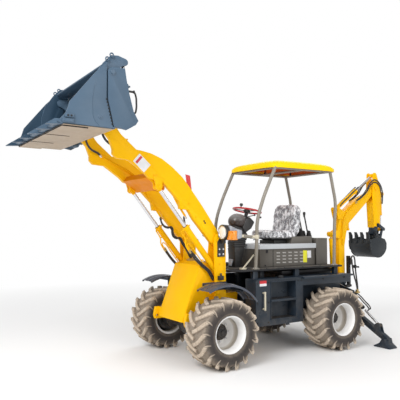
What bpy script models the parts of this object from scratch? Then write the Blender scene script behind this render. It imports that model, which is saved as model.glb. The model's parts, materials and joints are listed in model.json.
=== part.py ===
"""Articulated backhoe loader: loader with a split bucket in front, operator's stand under a canopy, backhoe behind.

Metres, +Z up, +X forward, +Y the machine's left. Lengths along the machine are measured from the rear axle,
and one empty carries the whole machine so that the middle of its length stands at the origin.
"""

import math

import bmesh
import bpy
from mathutils import Matrix, Vector

# Wheels and axles
TYRE_D = 0.787
TYRE_W = 0.394
TREAD_DEPTH = 0.026
RIM_D = 0.381
RIM_FLANGE_D = 0.420
RIM_W = 0.352
TRACK = 1.348
WHEELBASE = 1.804
AXLE_TUBE_R = 0.062
SPINDLE_R = 0.034
HUB_R = 0.084
HUB_GAP = 0.005

# Clearances
FIT = 0.0003
PIN_PLAY = 0.0005
SIDE_PLAY = 0.0006

# Steering pivot between the two frames
PIVOT_X = 0.900
PIVOT_PIN_R = 0.032

# Chassis
FRONT_SEAT_Z = 0.470
NECK_Z = (0.385, 0.720)
RAIL_Z0 = 0.500
RAIL_Z1 = 0.660
RAIL_Y = 0.230
RAIL_W = 0.060
REAR_PLATE_X = -0.560
REAR_PLATE_T = 0.036
SIDE_BOX_Y0 = 0.400
SIDE_BOX_Y1 = 0.600
SIDE_BOX_FRONT = 1.245
SIDE_BOX_BACK = 0.470
SIDE_BOX_Z0 = 0.380
SIDE_BOX_Z1 = 0.945
FENDER_BACK = -0.420

# Operator's platform
FLOOR_Z = 1.055
FLOOR_T = 0.022
FLOOR_HALF = 0.480
FLOOR_BACK = -0.400
FLOOR_FRONT_R = 0.675
HOOD_HALF = 0.300
HOOD_X0 = -0.050
HOOD_X1 = 0.930
HOOD_Z = 1.300
LID_T = 0.055
SEAT_Z = 1.425
STEER_X = 0.905
STEER_Z = 1.800
STEER_R = 0.200
STEER_LEAN = 28
HUB_DEPTH = 0.030

# Canopy
POST_Y = 0.450
POST_R = 0.024
ROOF_Z = 2.385
ROOF_X0 = -0.330
ROOF_X1 = 0.860
ROOF_HALF = 0.500

# Loader
TOWER_X0 = 1.545
TOWER_X1 = 1.712
ARM_PIVOT = (1.630, 1.420)
ARM_Y = 0.335
ARM_T = 0.060
ARM_PIN_R = 0.025
LIFT_BASE = (1.590, 0.985)
LIFT_EYE = (2.447, 2.036)
LIFT_BARREL_R = 0.036
LIFT_ROD_R = 0.021
LIFT_BARREL_L = 0.775
LIFT_SHORTEST = 0.831
TILT_BASE = (2.240, 2.050)
TILT_EYE = (3.050, 2.930)
TILT_BARREL_R = 0.040
TILT_ROD_R = 0.024
TILT_BARREL_L = 0.720
TILT_SHORTEST = 0.813
TOWER_PLATE_T = 0.020
TOWER_INNER_Y = 0.270
TOWER_OUTER_Y = 0.380
TOWER_GAP = TOWER_OUTER_Y - TOWER_INNER_Y - TOWER_PLATE_T

# Front bucket
BUCKET_PIVOT = (3.100, 2.660)
BUCKET_HALF = 0.815
BUCKET_PLATE = 0.020
CLAM_PIVOT = (3.215, 3.099)
CLAM_EYE = (3.072, 3.229)
CLAM_BASE = (2.972, 2.640)
CLAM_Y = BUCKET_HALF - 0.085
MOLDBOARD_HALF = BUCKET_HALF - 0.051
CLAM_PIN_R = 0.022
BUCKET_PIN_R = 0.022
CLAM_BARREL_R = 0.026
CLAM_ROD_R = 0.015
CLAM_BARREL_L = 0.390
CLAM_SHORTEST = 0.436
TOOTH_COUNT = 6
LIP_X = 3.744
TOOTH_TIP_X = 3.849

# Backhoe
KINGPIN_X = -0.660
KINGPIN_R = 0.026
BOOM_FOOT = (-0.880, 0.760)
BOOM_HALF = 0.055
BOOM_PIN_R = 0.022
STICK_PIN_R = 0.020
HOE_PIN_R = 0.018
LINK_PIN_R = 0.013
BOOM_CYL_BASE = (-0.725, 0.880)
BOOM_CYL_EYE = (-0.704, 1.479)
BOOM_BARREL_L = 0.535
BOOM_SHORTEST = 0.599
STICK_PIVOT = (-1.660, 2.206)
STICK_CYL_BASE = (-0.800, 1.850)
STICK_CYL_EYE = (-1.655, 2.410)
STICK_BARREL_L = 0.560
STICK_SHORTEST = 0.731
STICK_HALF = 0.060
STICK_CHEEK_IN = 0.0506
HOE_PIVOT = (-1.655, 1.490)
HOE_CYL_BASE = (-1.850, 2.120)
HOE_CYL_EYE = (-1.840, 1.550)
HOE_BARREL_L = 0.345
HOE_SHORTEST = 0.394
GUIDE_PIVOT = (-1.700, 1.620)
HOE_LINK_PIN = (-1.785, 1.380)
HOE_HALF = 0.199
HOE_BARREL_R = 0.030
HOE_ROD_R = 0.017
HOE_LUG_R = 0.036
HOE_LINK_OUT = 0.0455
HOE_EAR_IN = 0.047
GUIDE_IN = 0.0666
GUIDE_OUT = 0.0806
DIG_BARREL_R = 0.033
DIG_ROD_R = 0.0195

# Stabilizers
STAB_X = -0.600
STAB_PIVOT = (0.500, 0.400)
STAB_FOOT = (1.040, 0.110)
STAB_CYL_BASE = (0.440, 0.640)
STAB_CYL_EYE = (0.930, 0.270)
STAB_BARREL_L = 0.285
STAB_SHORTEST = 0.329
STAB_BARREL_R = 0.026
STAB_ROD_R = 0.0155
STAB_PIN_R = 0.020
STAB_HALF = 0.035
STAB_CHEEK_IN = 0.037

# Steering cylinder, flat between the two frames on the left
STEER_BASE = (0.450, 0.310)
STEER_LUG = (1.200, 0.160)
STEER_CYL_Z = 0.460
STEER_BARREL_L = 0.520
STEER_SHORTEST = 0.610
STEER_BARREL_R = 0.023
STEER_ROD_R = 0.012

MID_X = (TOOTH_TIP_X + HOE_CYL_BASE[0] - HOE_LUG_R) / 2

for old in list(bpy.data.objects):
    bpy.data.objects.remove(old, do_unlink=True)

scene = bpy.context.scene
machine_parts = bpy.data.collections.new("backhoe_loader")
scene.collection.children.link(machine_parts)
cutters = bpy.data.collections.new("cutters")
cutters.hide_render = True
scene.collection.children.link(cutters)

datum = bpy.data.objects.new("machine", None)
datum.location.x = -MID_X
machine_parts.objects.link(datum)


def material(name, colour, roughness, metallic=0.0):
    made = bpy.data.materials.new(name)
    made.use_nodes = True
    shader = made.node_tree.nodes["Principled BSDF"]
    shader.inputs["Base Color"].default_value = (*colour, 1)
    shader.inputs["Roughness"].default_value = roughness
    shader.inputs["Metallic"].default_value = metallic
    made.diffuse_color = (*colour, 1)
    return made


YELLOW = material("yellow_paint", (0.90, 0.50, 0.02), 0.35)
NAVY = material("navy_paint", (0.030, 0.045, 0.070), 0.4)
SLATE = material("slate_paint", (0.10, 0.15, 0.20), 0.45)
CREAM = material("cream_paint", (0.75, 0.70, 0.58), 0.4)
RUBBER = material("tyre_rubber", (0.10, 0.085, 0.07), 0.9)
GREY = material("hood_grey", (0.13, 0.12, 0.11), 0.5)
BLACK = material("black_plastic", (0.02, 0.02, 0.02), 0.5)
CHROME = material("chrome_rod", (0.80, 0.80, 0.80), 0.15, 1.0)
RED = material("red_rim", (0.55, 0.02, 0.02), 0.35)
POST_GREY = material("post_grey", (0.20, 0.18, 0.15), 0.5)
GLASS = material("lamp_glass", (0.85, 0.85, 0.80), 0.1)


def cutter_object(name, mesh):
    made = bpy.data.objects.new(name, mesh)
    made.hide_render = True
    made.display_type = "WIRE"
    cutters.objects.link(made)
    return made


def solid_from(bm, name="piece"):
    """A helper solid that is fused into a sub-part later."""
    bmesh.ops.recalc_face_normals(bm, faces=bm.faces)
    mesh = bpy.data.meshes.new(name)
    bm.to_mesh(mesh)
    bm.free()
    return cutter_object(name, mesh)


def block(x, y, z, turn=None):
    """A box between pairs of x, y and z; turn is (angle about Y in degrees, (x, z) of the point it turns about)."""
    bm = bmesh.new()
    bmesh.ops.create_cube(bm, size=1)
    bmesh.ops.scale(bm, vec=(abs(x[1] - x[0]), abs(y[1] - y[0]), abs(z[1] - z[0])), verts=bm.verts)
    bmesh.ops.translate(bm, vec=(sum(x) / 2, sum(y) / 2, sum(z) / 2), verts=bm.verts)
    if turn:
        angle, (px, pz) = turn
        bmesh.ops.rotate(bm, cent=(px, 0, pz), matrix=Matrix.Rotation(math.radians(angle), 3, "Y"), verts=bm.verts)
    return solid_from(bm)


def sides_of(radius):
    """Thin bars get fewer sides."""
    if radius < 0.020:
        return 8
    return 10 if radius < 0.036 else 12


def bore_r(radius, play=None):
    """Radius of a hole whose flats still clear a turning pin of this radius."""
    return (radius + (PIN_PLAY if play is None else play)) / math.cos(math.pi / sides_of(radius))


def bar(start, end, radius, sides=None, radius_end=None):
    """A round bar between two points."""
    start, end = Vector(start), Vector(end)
    sides = sides or sides_of(radius)
    bm = bmesh.new()
    bmesh.ops.create_cone(
        bm,
        cap_ends=True,
        segments=sides,
        radius1=radius,
        radius2=radius if radius_end is None else radius_end,
        depth=(end - start).length,
    )
    turn = Vector((0, 0, 1)).rotation_difference(end - start).to_matrix()
    bmesh.ops.rotate(bm, matrix=turn, verts=bm.verts)
    bmesh.ops.translate(bm, vec=(start + end) / 2, verts=bm.verts)
    return solid_from(bm)


def curve_to_solid(curve, matrix):
    """The curve's evaluated mesh with its caps welded, so that it can be cut and joined."""
    holder = bpy.data.objects.new("outline", curve)
    holder.matrix_world = matrix
    cutters.objects.link(holder)
    bpy.context.view_layer.update()
    graph = bpy.context.evaluated_depsgraph_get()
    mesh = bpy.data.meshes.new_from_object(holder.evaluated_get(graph))
    mesh.transform(matrix)
    bpy.data.objects.remove(holder, do_unlink=True)
    bm = bmesh.new()
    bm.from_mesh(mesh)
    bmesh.ops.remove_doubles(bm, verts=bm.verts, dist=1e-6)
    return solid_from(bm)


STANDING = Matrix(((1, 0, 0, 0), (0, 0, -1, 0), (0, 1, 0, 0), (0, 0, 0, 1)))
ACROSS = Matrix(((0, 0, 1, 0), (1, 0, 0, 0), (0, 1, 0, 0), (0, 0, 0, 1)))


def extruded(outline, low, high, frame, holes=()):
    """A flat outline, with holes, made thick between low and high along the frame's normal."""
    curve = bpy.data.curves.new("outline", "CURVE")
    curve.dimensions = "2D"
    curve.fill_mode = "BOTH"
    curve.extrude = abs(high - low) / 2
    for points in (outline, *holes):
        spline = curve.splines.new("POLY")
        spline.points.add(len(points) - 1)
        for point, (u, v) in zip(spline.points, points):
            point.co = (u, v, 0, 1)
        spline.use_cyclic_u = True
    middle = (low + high) / 2
    return curve_to_solid(curve, Matrix.Translation(frame.to_3x3() @ Vector((0, 0, middle))) @ frame)


def plate(outline, y, holes=()):
    """A plate that stands along the machine: its outline in x and z, thick between the two values of y."""
    return extruded(outline, -y[1], -y[0], STANDING, holes)


def slab(outline, z, holes=()):
    """A plate that lies flat: its outline in x and y, thick between the two values of z."""
    return extruded(outline, z[0], z[1], Matrix.Identity(4), holes)


def cross_plate(outline, x, holes=()):
    """A plate that stands across the machine: its outline in y and z, thick between the two values of x."""
    return extruded(outline, x[0], x[1], ACROSS, holes)


def circle(centre, radius, sides=12, start=0.0):
    return [
        (
            centre[0] + radius * math.cos(start + 2 * math.pi * i / sides),
            centre[1] + radius * math.sin(start + 2 * math.pi * i / sides),
        )
        for i in range(sides)
    ]


def arc(centre, radius, first, last, steps):
    """Points on an arc from one angle to another, in degrees."""
    return [
        (
            centre[0] + radius * math.cos(math.radians(first + (last - first) * i / steps)),
            centre[1] + radius * math.sin(math.radians(first + (last - first) * i / steps)),
        )
        for i in range(steps + 1)
    ]


def tube(points, radius, resolution=2):
    """A bent round tube with filled ends."""
    curve = bpy.data.curves.new("tube", "CURVE")
    curve.dimensions = "3D"
    curve.bevel_depth = radius
    curve.bevel_resolution = resolution
    curve.use_fill_caps = True
    spline = curve.splines.new("POLY")
    spline.points.add(len(points) - 1)
    for point, where in zip(spline.points, points):
        point.co = (*where, 1)
    return curve_to_solid(curve, Matrix.Identity(4))


def turned(profile, steps, centre, axis="Y", side=1):
    """A closed profile of (radius, distance along the axis), turned about the axis through centre."""
    mesh = bpy.data.meshes.new("profile")
    bm = bmesh.new()
    verts = [bm.verts.new((radius, 0, along)) for radius, along in profile]
    for first, second in zip(verts, verts[1:] + verts[:1]):
        bm.edges.new((first, second))
    bmesh.ops.remove_doubles(bm, verts=bm.verts, dist=1e-6)
    bm.to_mesh(mesh)
    bm.free()
    holder = cutter_object("profile", mesh)
    screw = holder.modifiers.new("turn", "SCREW")
    screw.axis = "Z"
    screw.steps = screw.render_steps = steps
    screw.use_merge_vertices = True
    screw.merge_threshold = 0.00005
    bpy.context.view_layer.update()
    graph = bpy.context.evaluated_depsgraph_get()
    made = bpy.data.meshes.new_from_object(holder.evaluated_get(graph))
    bpy.data.objects.remove(holder, do_unlink=True)
    bm = bmesh.new()
    bm.from_mesh(made)
    bmesh.ops.remove_doubles(bm, verts=bm.verts, dist=1e-5)
    loose = [edge for edge in bm.edges if not edge.link_faces]
    bmesh.ops.delete(bm, geom=loose, context="EDGES")
    if axis == "Y":
        bmesh.ops.rotate(bm, matrix=Matrix.Rotation(math.radians(-90 * side), 3, "X"), verts=bm.verts)
    bmesh.ops.translate(bm, vec=centre, verts=bm.verts)
    return solid_from(bm)


def fuse(name, pieces, finish, cuts=(), body=None, smooth=False):
    """One closed sub-part: the pieces joined, then the cuts taken out."""
    base = pieces[0]
    groups = []
    for operation, others in (("UNION", pieces[1:]), ("DIFFERENCE", cuts)):
        if not others:
            continue
        group = bpy.data.collections.new("operands")
        groups.append(group)
        for other in others:
            group.objects.link(other)
        step = base.modifiers.new("join", "BOOLEAN")
        step.operation = operation
        step.solver = "EXACT"
        step.operand_type = "COLLECTION"
        step.collection = group
    bpy.context.view_layer.update()
    graph = bpy.context.evaluated_depsgraph_get()
    mesh = bpy.data.meshes.new_from_object(base.evaluated_get(graph))
    for used in (*pieces, *cuts):
        bpy.data.objects.remove(used, do_unlink=True)
    for group in groups:
        bpy.data.collections.remove(group)
    return place(name, mesh, finish, body, smooth)


def place(name, mesh, finish, body=None, smooth=False):
    """The named sub-part, its origin on the axis of the body that carries it."""
    mesh.name = name
    mesh.materials.clear()
    mesh.materials.append(finish)
    if smooth:
        mesh.shade_smooth()
        mesh.set_sharp_from_angle(angle=math.radians(35))
    made = bpy.data.objects.new(name, mesh)
    machine_parts.objects.link(made)
    made.parent = body or datum
    if body:
        made.matrix_parent_inverse = Matrix.Translation(-body_origin(body))
    return made


def body_origin(body):
    """Where a body's empty stands, in lengths from the rear axle."""
    place_of = Vector((0, 0, 0))
    while body and body is not datum:
        place_of += body.location
        body = body.parent
    return place_of


def axis_empty(name, where, parent=None):
    """An empty on a joint's axis; what moves with the joint is parented to it."""
    made = bpy.data.objects.new(name, None)
    machine_parts.objects.link(made)
    made.parent = parent or datum
    made.location = Vector(where) - (body_origin(parent) if parent else Vector((0, 0, 0)))
    return made


def joint_at(name, point, parent=None):
    """A joint's empty on a pin across the machine, its point given as (x, z)."""
    return axis_empty(name, (point[0], 0, point[1]), parent)


def toward(start, end, length):
    """The point at a length from start on the way to end, both in a plane."""
    run = math.dist(start, end)
    return tuple(a + (b - a) * length / run for a, b in zip(start, end))


class Cylinder:
    """A hydraulic cylinder's sizes: ends in a plane, radii, barrel length and the shortest length between its pins."""

    def __init__(self, base, eye, barrel_l, shortest, barrel_r, rod_r, base_half, eye_half, eye_r=None):
        self.base, self.eye = base, eye
        self.length = math.dist(base, eye)
        self.barrel_l, self.barrel_r, self.rod_r = barrel_l, barrel_r, rod_r
        self.base_half, self.eye_half = base_half, eye_half
        self.eye_r = eye_r or barrel_r * 0.95
        self.pin_r = self.eye_r * 0.45
        self.base_r = max(self.eye_r, barrel_r * 0.95)
        # the piston end of the rod stops short of the base at the shortest length
        self.rod_l = shortest - self.base_r - 0.015

    def build(self, name, at, across, body, paint):
        """at(length) is a point on the axis, across(point, offset) moves it along the pins."""
        bottom = self.length - self.rod_l
        least = self.base_r + 0.008
        fuse(
            name.replace("*", "barrel"),
            [
                bar(at(self.base_r * 0.6), at(self.barrel_l), self.barrel_r),
                bar(at(self.barrel_l - 0.035), at(self.barrel_l + 0.001), self.barrel_r * 1.12),
                bar(across(at(0), -self.base_half), across(at(0), self.base_half), self.base_r),
            ],
            paint,
            cuts=[
                bar(at(least), at(self.barrel_l + 0.02), self.rod_r + PIN_PLAY, sides=sides_of(self.rod_r)),
                bar(
                    across(at(0), -self.base_half - 0.01),
                    across(at(0), self.base_half + 0.01),
                    bore_r(self.pin_r),
                    sides=sides_of(self.pin_r),
                ),
            ],
            body=body,
        )
        fuse(
            name.replace("*", "rod"),
            [
                bar(at(bottom), at(self.length), self.rod_r),
                bar(across(at(self.length), -self.eye_half), across(at(self.length), self.eye_half), self.eye_r),
            ],
            CHROME,
            body=body,
        )

    def stand_along(self, name, y, body, paint):
        """The cylinder in a plane along the machine, its ends given as (x, z)."""

        def at(length):
            return shift(toward(self.base, self.eye, length), y)

        def across(point, offset):
            return (point[0], point[1] + offset, point[2])

        self.build(name, at, across, body, paint)


def shift(point, y):
    return (point[0], y, point[1])


def pin_bore(point, y, half, radius):
    """The hole of a pin through an eye, with running play."""
    start = (point[0], y - half - 0.01, point[1])
    end = (point[0], y + half + 0.01, point[1])
    return bar(start, end, bore_r(radius), sides=sides_of(radius))


def pin(point, y0, y1, radius):
    return bar((point[0], y0, point[1]), (point[0], y1, point[1]), radius)


# Wheels
TIP_R = TYRE_D / 2
AXLE_Z = TIP_R


WHEEL_STEPS = 18
LUG_PAIRS = 13


def tyre_mesh():
    """A tyre with its slanted lugs, about the origin with its axle along Y."""
    half = TYRE_W / 2
    tread_r = TIP_R - TREAD_DEPTH
    bead_r = RIM_D / 2 + FIT
    bead_half = RIM_W / 2 - 0.0135
    outer = [
        (bead_r, bead_half),
        (bead_r + 0.080, half),
        (tread_r - 0.038, half - 0.008),
        (tread_r + 0.004, half * 0.62),
    ]
    profile = outer + [(r, -along) for r, along in reversed(outer)]
    inner_r = tread_r - 0.030
    profile += [(bead_r, -bead_half + 0.022), (inner_r, 0), (bead_r, bead_half - 0.022)]
    body = turned(profile, WHEEL_STEPS, (0, 0, 0))
    lugs = []
    lean = math.radians(38)
    reach, width = 0.205, 0.040
    # the pattern is turned so that the inner end of one lug stands on the ground
    settle = math.asin(reach / 2 * math.sin(lean) / TIP_R)
    for i in range(LUG_PAIRS):
        for side in (-1, 1):
            around = 2 * math.pi * (i + (0.5 if side > 0 else 0)) / LUG_PAIRS + settle
            bm = bmesh.new()
            bmesh.ops.create_cube(bm, size=1)
            bmesh.ops.scale(bm, vec=(width, reach, 1), verts=bm.verts)
            tips = {vert: vert.co.z > 0 for vert in bm.verts}
            shoulders = {vert: vert.co.y * side > 0 for vert in bm.verts}
            for vert in bm.verts:
                if tips[vert]:
                    vert.co.x *= 0.8
            bmesh.ops.rotate(bm, matrix=Matrix.Rotation(-side * lean, 3, "Z"), verts=bm.verts)
            bmesh.ops.translate(bm, vec=(0, side * 0.090, 0), verts=bm.verts)
            for vert in bm.verts:
                at_r = TIP_R if tips[vert] else tread_r - 0.020
                if shoulders[vert]:
                    at_r -= 0.014 if tips[vert] else 0.022
                vert.co.z = math.sqrt(at_r**2 - vert.co.x**2)
            bmesh.ops.rotate(bm, matrix=Matrix.Rotation(around, 3, "Y"), verts=bm.verts)
            lugs.append(solid_from(bm))
    made = fuse("tyre_pattern", [body, *lugs], RUBBER)
    mesh = made.data
    bpy.data.objects.remove(made, do_unlink=True)
    return mesh


def rim_mesh():
    """A rim with its dished disc and hub, about the origin, its outer side toward +Y."""
    seat = RIM_D / 2
    flange = RIM_FLANGE_D / 2
    half = RIM_W / 2
    wall = 0.008
    hub_in = -(TRACK / 2 - AXLE_FLANGE_Y - HUB_GAP)
    bore_in = -(TRACK / 2 - SPINDLE_END_Y - 0.012)
    bore = (SPINDLE_R + PIN_PLAY) / math.cos(math.pi / WHEEL_STEPS)
    profile = [
        (0, 0.100),
        (0.060, 0.100),
        (0.066, 0.046),
        (0.125, 0.036),
        (seat - wall, 0.095),
        (seat - wall, half + 0.006),
        (flange, half + 0.006),
        (flange, half - 0.004),
        (seat, half - 0.006),
        (seat, -half + 0.006),
        (flange, -half + 0.004),
        (flange, -half - 0.006),
        (seat - wall, -half - 0.006),
        (seat - wall, 0.080),
        (HUB_R, 0.015),
        (HUB_R, hub_in),
        (bore, hub_in),
        (bore, bore_in),
        (0, bore_in),
    ]
    made = fuse("rim_pattern", [turned(profile, WHEEL_STEPS, (0, 0, 0))], CREAM)
    mesh = made.data
    bpy.data.objects.remove(made, do_unlink=True)
    return mesh


AXLE_FLANGE_Y = 0.415
SPINDLE_END_Y = 0.520

front_body = axis_empty("front_axis", (PIVOT_X, 0, 0))
tyre_pattern = tyre_mesh()
rim_pattern = rim_mesh()

# name, x of the axle, side, body that carries the wheel
WHEELS = (
    ("front_left", WHEELBASE, 1, front_body),
    ("front_right", WHEELBASE, -1, front_body),
    ("rear_left", 0.0, 1, None),
    ("rear_right", 0.0, -1, None),
)
for wheel_name, wheel_x, side, carrier in WHEELS:
    axle_end = axis_empty("wheel_axis_" + wheel_name, (wheel_x, side * TRACK / 2, AXLE_Z), carrier)
    for kind, mesh, finish in (("tyre_", tyre_pattern, RUBBER), ("rim_", rim_pattern, CREAM)):
        wheel_part = bpy.data.objects.new(kind + wheel_name, mesh)
        mesh.materials.clear()
        mesh.materials.append(finish)
        machine_parts.objects.link(wheel_part)
        wheel_part.parent = axle_end
        if side < 0:
            wheel_part.rotation_euler.z = math.pi


def axle(name, x, seat_z, body):
    """An axle beam with its drive housing, hub flanges, spindles and the pads under the frame."""
    housing = [(0, 0.150), (0.080, 0.140), (0.125, 0.070), (0.125, -0.070), (0.080, -0.140), (0, -0.150)]
    pieces = [bar((x, -AXLE_FLANGE_Y, AXLE_Z), (x, AXLE_FLANGE_Y, AXLE_Z), AXLE_TUBE_R)]
    pieces.append(turned(housing, 16, (x, 0, AXLE_Z)))
    pieces.append(bar((x - 0.22, 0.02, AXLE_Z), (x, 0.02, AXLE_Z), 0.070))
    for side in (-1, 1):
        pieces.append(bar((x, side * (AXLE_FLANGE_Y - 0.03), AXLE_Z), (x, side * AXLE_FLANGE_Y, AXLE_Z), 0.100))
        pieces.append(bar((x, side * (AXLE_FLANGE_Y - 0.015), AXLE_Z), (x, side * SPINDLE_END_Y, AXLE_Z), SPINDLE_R))
        pieces.append(
            block((x - 0.06, x + 0.06), (side * (RAIL_Y - 0.03), side * (RAIL_Y + 0.03)), (AXLE_Z, seat_z - FIT))
        )
    fuse(name, pieces, BLACK, body=body)


axle("front_axle", WHEELBASE, FRONT_SEAT_Z, front_body)
axle("rear_axle", 0.0, RAIL_Z0, None)


def rear_frame():
    """Two rails, cross members, the steering pivot's lugs and the plate that carries the backhoe."""
    pieces = []
    for side in (-1, 1):
        pieces.append(
            block((REAR_PLATE_X, 0.72), (side * (RAIL_Y - RAIL_W / 2), side * (RAIL_Y + RAIL_W / 2)), (RAIL_Z0, RAIL_Z1))
        )
    for x in (-0.30, 0.30, 0.64):
        pieces.append(block((x, x + 0.06), (-RAIL_Y, RAIL_Y), (RAIL_Z0 + 0.02, RAIL_Z1 - 0.03)))
    lug = [(0.64, -RAIL_Y)] + arc((PIVOT_X, 0), 0.10, -75, 75, 8) + [(0.64, RAIL_Y)]
    pieces.append(slab(lug, (0.393, 0.420)))
    pieces.append(slab(lug, (0.685, 0.712)))
    pieces.append(block((0.66, 0.72), (-RAIL_Y, 0.130), (0.395, 0.710)))
    pieces.append(block((0.66, 0.72), (0.120, RAIL_Y - 0.001), (0.520, 0.709)))
    pieces.append(bar((PIVOT_X, 0, 0.350), (PIVOT_X, 0, 0.755), PIVOT_PIN_R))
    pieces.append(bar((PIVOT_X, 0, NECK_Z[0] + SIDE_PLAY), (PIVOT_X, 0, 0.400), 0.060))
    pieces.append(bar((PIVOT_X, 0, 0.705), (PIVOT_X, 0, NECK_Z[1] - SIDE_PLAY), 0.060))
    lug_y = (STEER_BASE[1] - 0.028, STEER_BASE[1] + 0.028)
    pieces.append(block((STEER_BASE[0] - 0.028, STEER_BASE[0] + 0.028), lug_y, (STEER_CYL_Z + STEER_BARREL_R + 0.002, RAIL_Z0 + 0.02)))
    pieces.append(bar((*STEER_BASE, STEER_CYL_Z - 0.030), (*STEER_BASE, STEER_CYL_Z + 0.040), STEER_CYL.pin_r))
    for side in (-1, 1):
        pieces.append(block((0.41, 0.56), (side * 0.20, side * (SIDE_BOX_Y0 - FIT)), (RAIL_Z0 + 0.01, RAIL_Z1 - 0.01)))
        pieces.append(block((-0.50, -0.44), (side * 0.20, side * (SIDE_BOX_Y0 - FIT)), (RAIL_Z0 + 0.01, RAIL_Z1 - 0.01)))
    rear = [(-0.46, 0.30), (0.46, 0.30), (0.58, 0.42), (0.54, 0.70), (0.20, 0.80), (-0.20, 0.80), (-0.54, 0.70), (-0.58, 0.42)]
    pieces.append(cross_plate(rear, (REAR_PLATE_X, REAR_PLATE_X + REAR_PLATE_T)))
    for z in (0.400, 0.700):
        ear = [(REAR_PLATE_X + 0.01, -0.07)] + arc((KINGPIN_X, 0), 0.050, 270, 90, 6) + [(REAR_PLATE_X + 0.01, 0.07)]
        pieces.append(slab(ear, (z, z + 0.025)))
    pieces.append(bar((KINGPIN_X, 0, 0.395), (KINGPIN_X, 0, 0.730), KINGPIN_R))
    for side in (-1, 1):
        for x in (STAB_X - STAB_CHEEK_IN - 0.016, STAB_X + STAB_CHEEK_IN):
            cheek = [
                (side * 0.36, 0.34),
                (side * 0.50, 0.34),
                (side * 0.56, 0.38),
                (side * 0.56, 0.44),
                (side * 0.50, 0.56),
                (side * 0.47, 0.69),
                (side * 0.38, 0.69),
            ]
            pieces.append(cross_plate(cheek, (x, x + 0.016)))
        pieces.append(block((STAB_X - 0.05, -0.54), (side * 0.36, side * 0.40), (0.345, 0.60)))
        pieces.append(stab_pin(STAB_PIVOT, side, STAB_PIN_R))
        pieces.append(stab_pin(STAB_CYL_BASE, side, STAB_CYL.pin_r))
    for side in (-1, 1):
        pieces.append(block((-0.38, -0.32), (side * 0.20, side * 0.27), (0.62, FLOOR_Z - FLOOR_T - FIT)))
        pieces.append(block((0.84, 0.90), (side * 0.20, side * 0.27), (0.70, FLOOR_Z - FLOOR_T - FIT)))
        pieces.append(block((0.62, 0.90), (side * 0.20, side * 0.26), (0.69, 0.75)))
    fuse("rear_frame", pieces, NAVY)


def stab_pin(point, side, radius, sides=None):
    return bar(
        (STAB_X - STAB_HALF - 0.026, side * point[0], point[1]),
        (STAB_X + STAB_HALF + 0.026, side * point[0], point[1]),
        radius,
        sides=sides,
    )


STEER_CYL = Cylinder(
    STEER_BASE, STEER_LUG, STEER_BARREL_L, STEER_SHORTEST, STEER_BARREL_R, STEER_ROD_R, 0.022, 0.0243, eye_r=0.024
)
STAB_CYL = Cylinder(
    STAB_CYL_BASE,
    STAB_CYL_EYE,
    STAB_BARREL_L,
    STAB_SHORTEST,
    STAB_BARREL_R,
    STAB_ROD_R,
    STAB_CHEEK_IN - SIDE_PLAY,
    0.021,
    eye_r=0.024,
)
LIFT_CYL = Cylinder(
    LIFT_BASE, LIFT_EYE, LIFT_BARREL_L, LIFT_SHORTEST, LIFT_BARREL_R, LIFT_ROD_R, TOWER_GAP / 2 - SIDE_PLAY, 0.0209
)
TILT_CYL = Cylinder(TILT_BASE, TILT_EYE, TILT_BARREL_L, TILT_SHORTEST, TILT_BARREL_R, TILT_ROD_R, TILT_BARREL_R, 0.030)
CLAM_CYL = Cylinder(CLAM_BASE, CLAM_EYE, CLAM_BARREL_L, CLAM_SHORTEST, CLAM_BARREL_R, CLAM_ROD_R, 0.0314, 0.018)
BOOM_CYL = Cylinder(
    BOOM_CYL_BASE, BOOM_CYL_EYE, BOOM_BARREL_L, BOOM_SHORTEST, DIG_BARREL_R, DIG_ROD_R, BOOM_HALF + 0.005, 0.030
)
STICK_CYL = Cylinder(
    STICK_CYL_BASE, STICK_CYL_EYE, STICK_BARREL_L, STICK_SHORTEST, DIG_BARREL_R, DIG_ROD_R, DIG_BARREL_R, 0.030
)
HOE_CYL = Cylinder(HOE_CYL_BASE, HOE_CYL_EYE, HOE_BARREL_L, HOE_SHORTEST, HOE_BARREL_R, HOE_ROD_R, HOE_BARREL_R, 0.028)

rear_frame()


def side_box(name, side):
    """Side tank with the two boarding steps, going over the rear wheel as a fender."""
    y0, y1 = side * SIDE_BOX_Y0, side * SIDE_BOX_Y1
    pieces = [
        block((SIDE_BOX_BACK, SIDE_BOX_FRONT), (y0, y1), (SIDE_BOX_Z0, SIDE_BOX_Z1 - 0.02)),
        block((FENDER_BACK, SIDE_BOX_BACK + 0.02), (y0, side * (SIDE_BOX_Y1 + 0.05)), (SIDE_BOX_Z1 - 0.024, SIDE_BOX_Z1)),
        block((SIDE_BOX_BACK, SIDE_BOX_FRONT - 0.001), (y0, y1 - side * 0.001), (SIDE_BOX_Z1 - 0.03, SIDE_BOX_Z1 - 0.002)),
        block((FENDER_BACK + 0.001, SIDE_BOX_BACK + 0.01), (y0, y0 + side * 0.012), (RAIL_Z0, SIDE_BOX_Z1 - 0.01)),
        block((FENDER_BACK + 0.001, SIDE_BOX_BACK + 0.01), (y1 - side * 0.012, y1), (0.835, SIDE_BOX_Z1 - 0.01)),
    ]
    for x in (-0.33, 0.40, 1.10):
        pieces.append(block((x, x + 0.07), (side * 0.41, side * 0.46), (SIDE_BOX_Z1 - 0.01, FLOOR_Z - FLOOR_T - FIT)))
    recess = (SIDE_BOX_Y1 - 0.150) * side
    cuts = [
        block((0.600, 1.010), (recess, side * 0.70), (0.455, 0.665)),
        block((0.600, 1.010), (recess, side * 0.70), (0.690, 0.905)),
    ]
    rail_x, rail_y = 1.130, y1 + side * 0.035
    for z in (0.590, 0.780):
        pieces.append(bar((rail_x, y1 - side * 0.02, z), (rail_x, rail_y + side * 0.008, z), 0.010))
    pieces.append(bar((rail_x, rail_y, 0.570), (rail_x, rail_y, 0.800), 0.010))
    fuse(name, pieces, NAVY, cuts=cuts)


side_box("side_box_left", 1)
side_box("side_box_right", -1)


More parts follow.
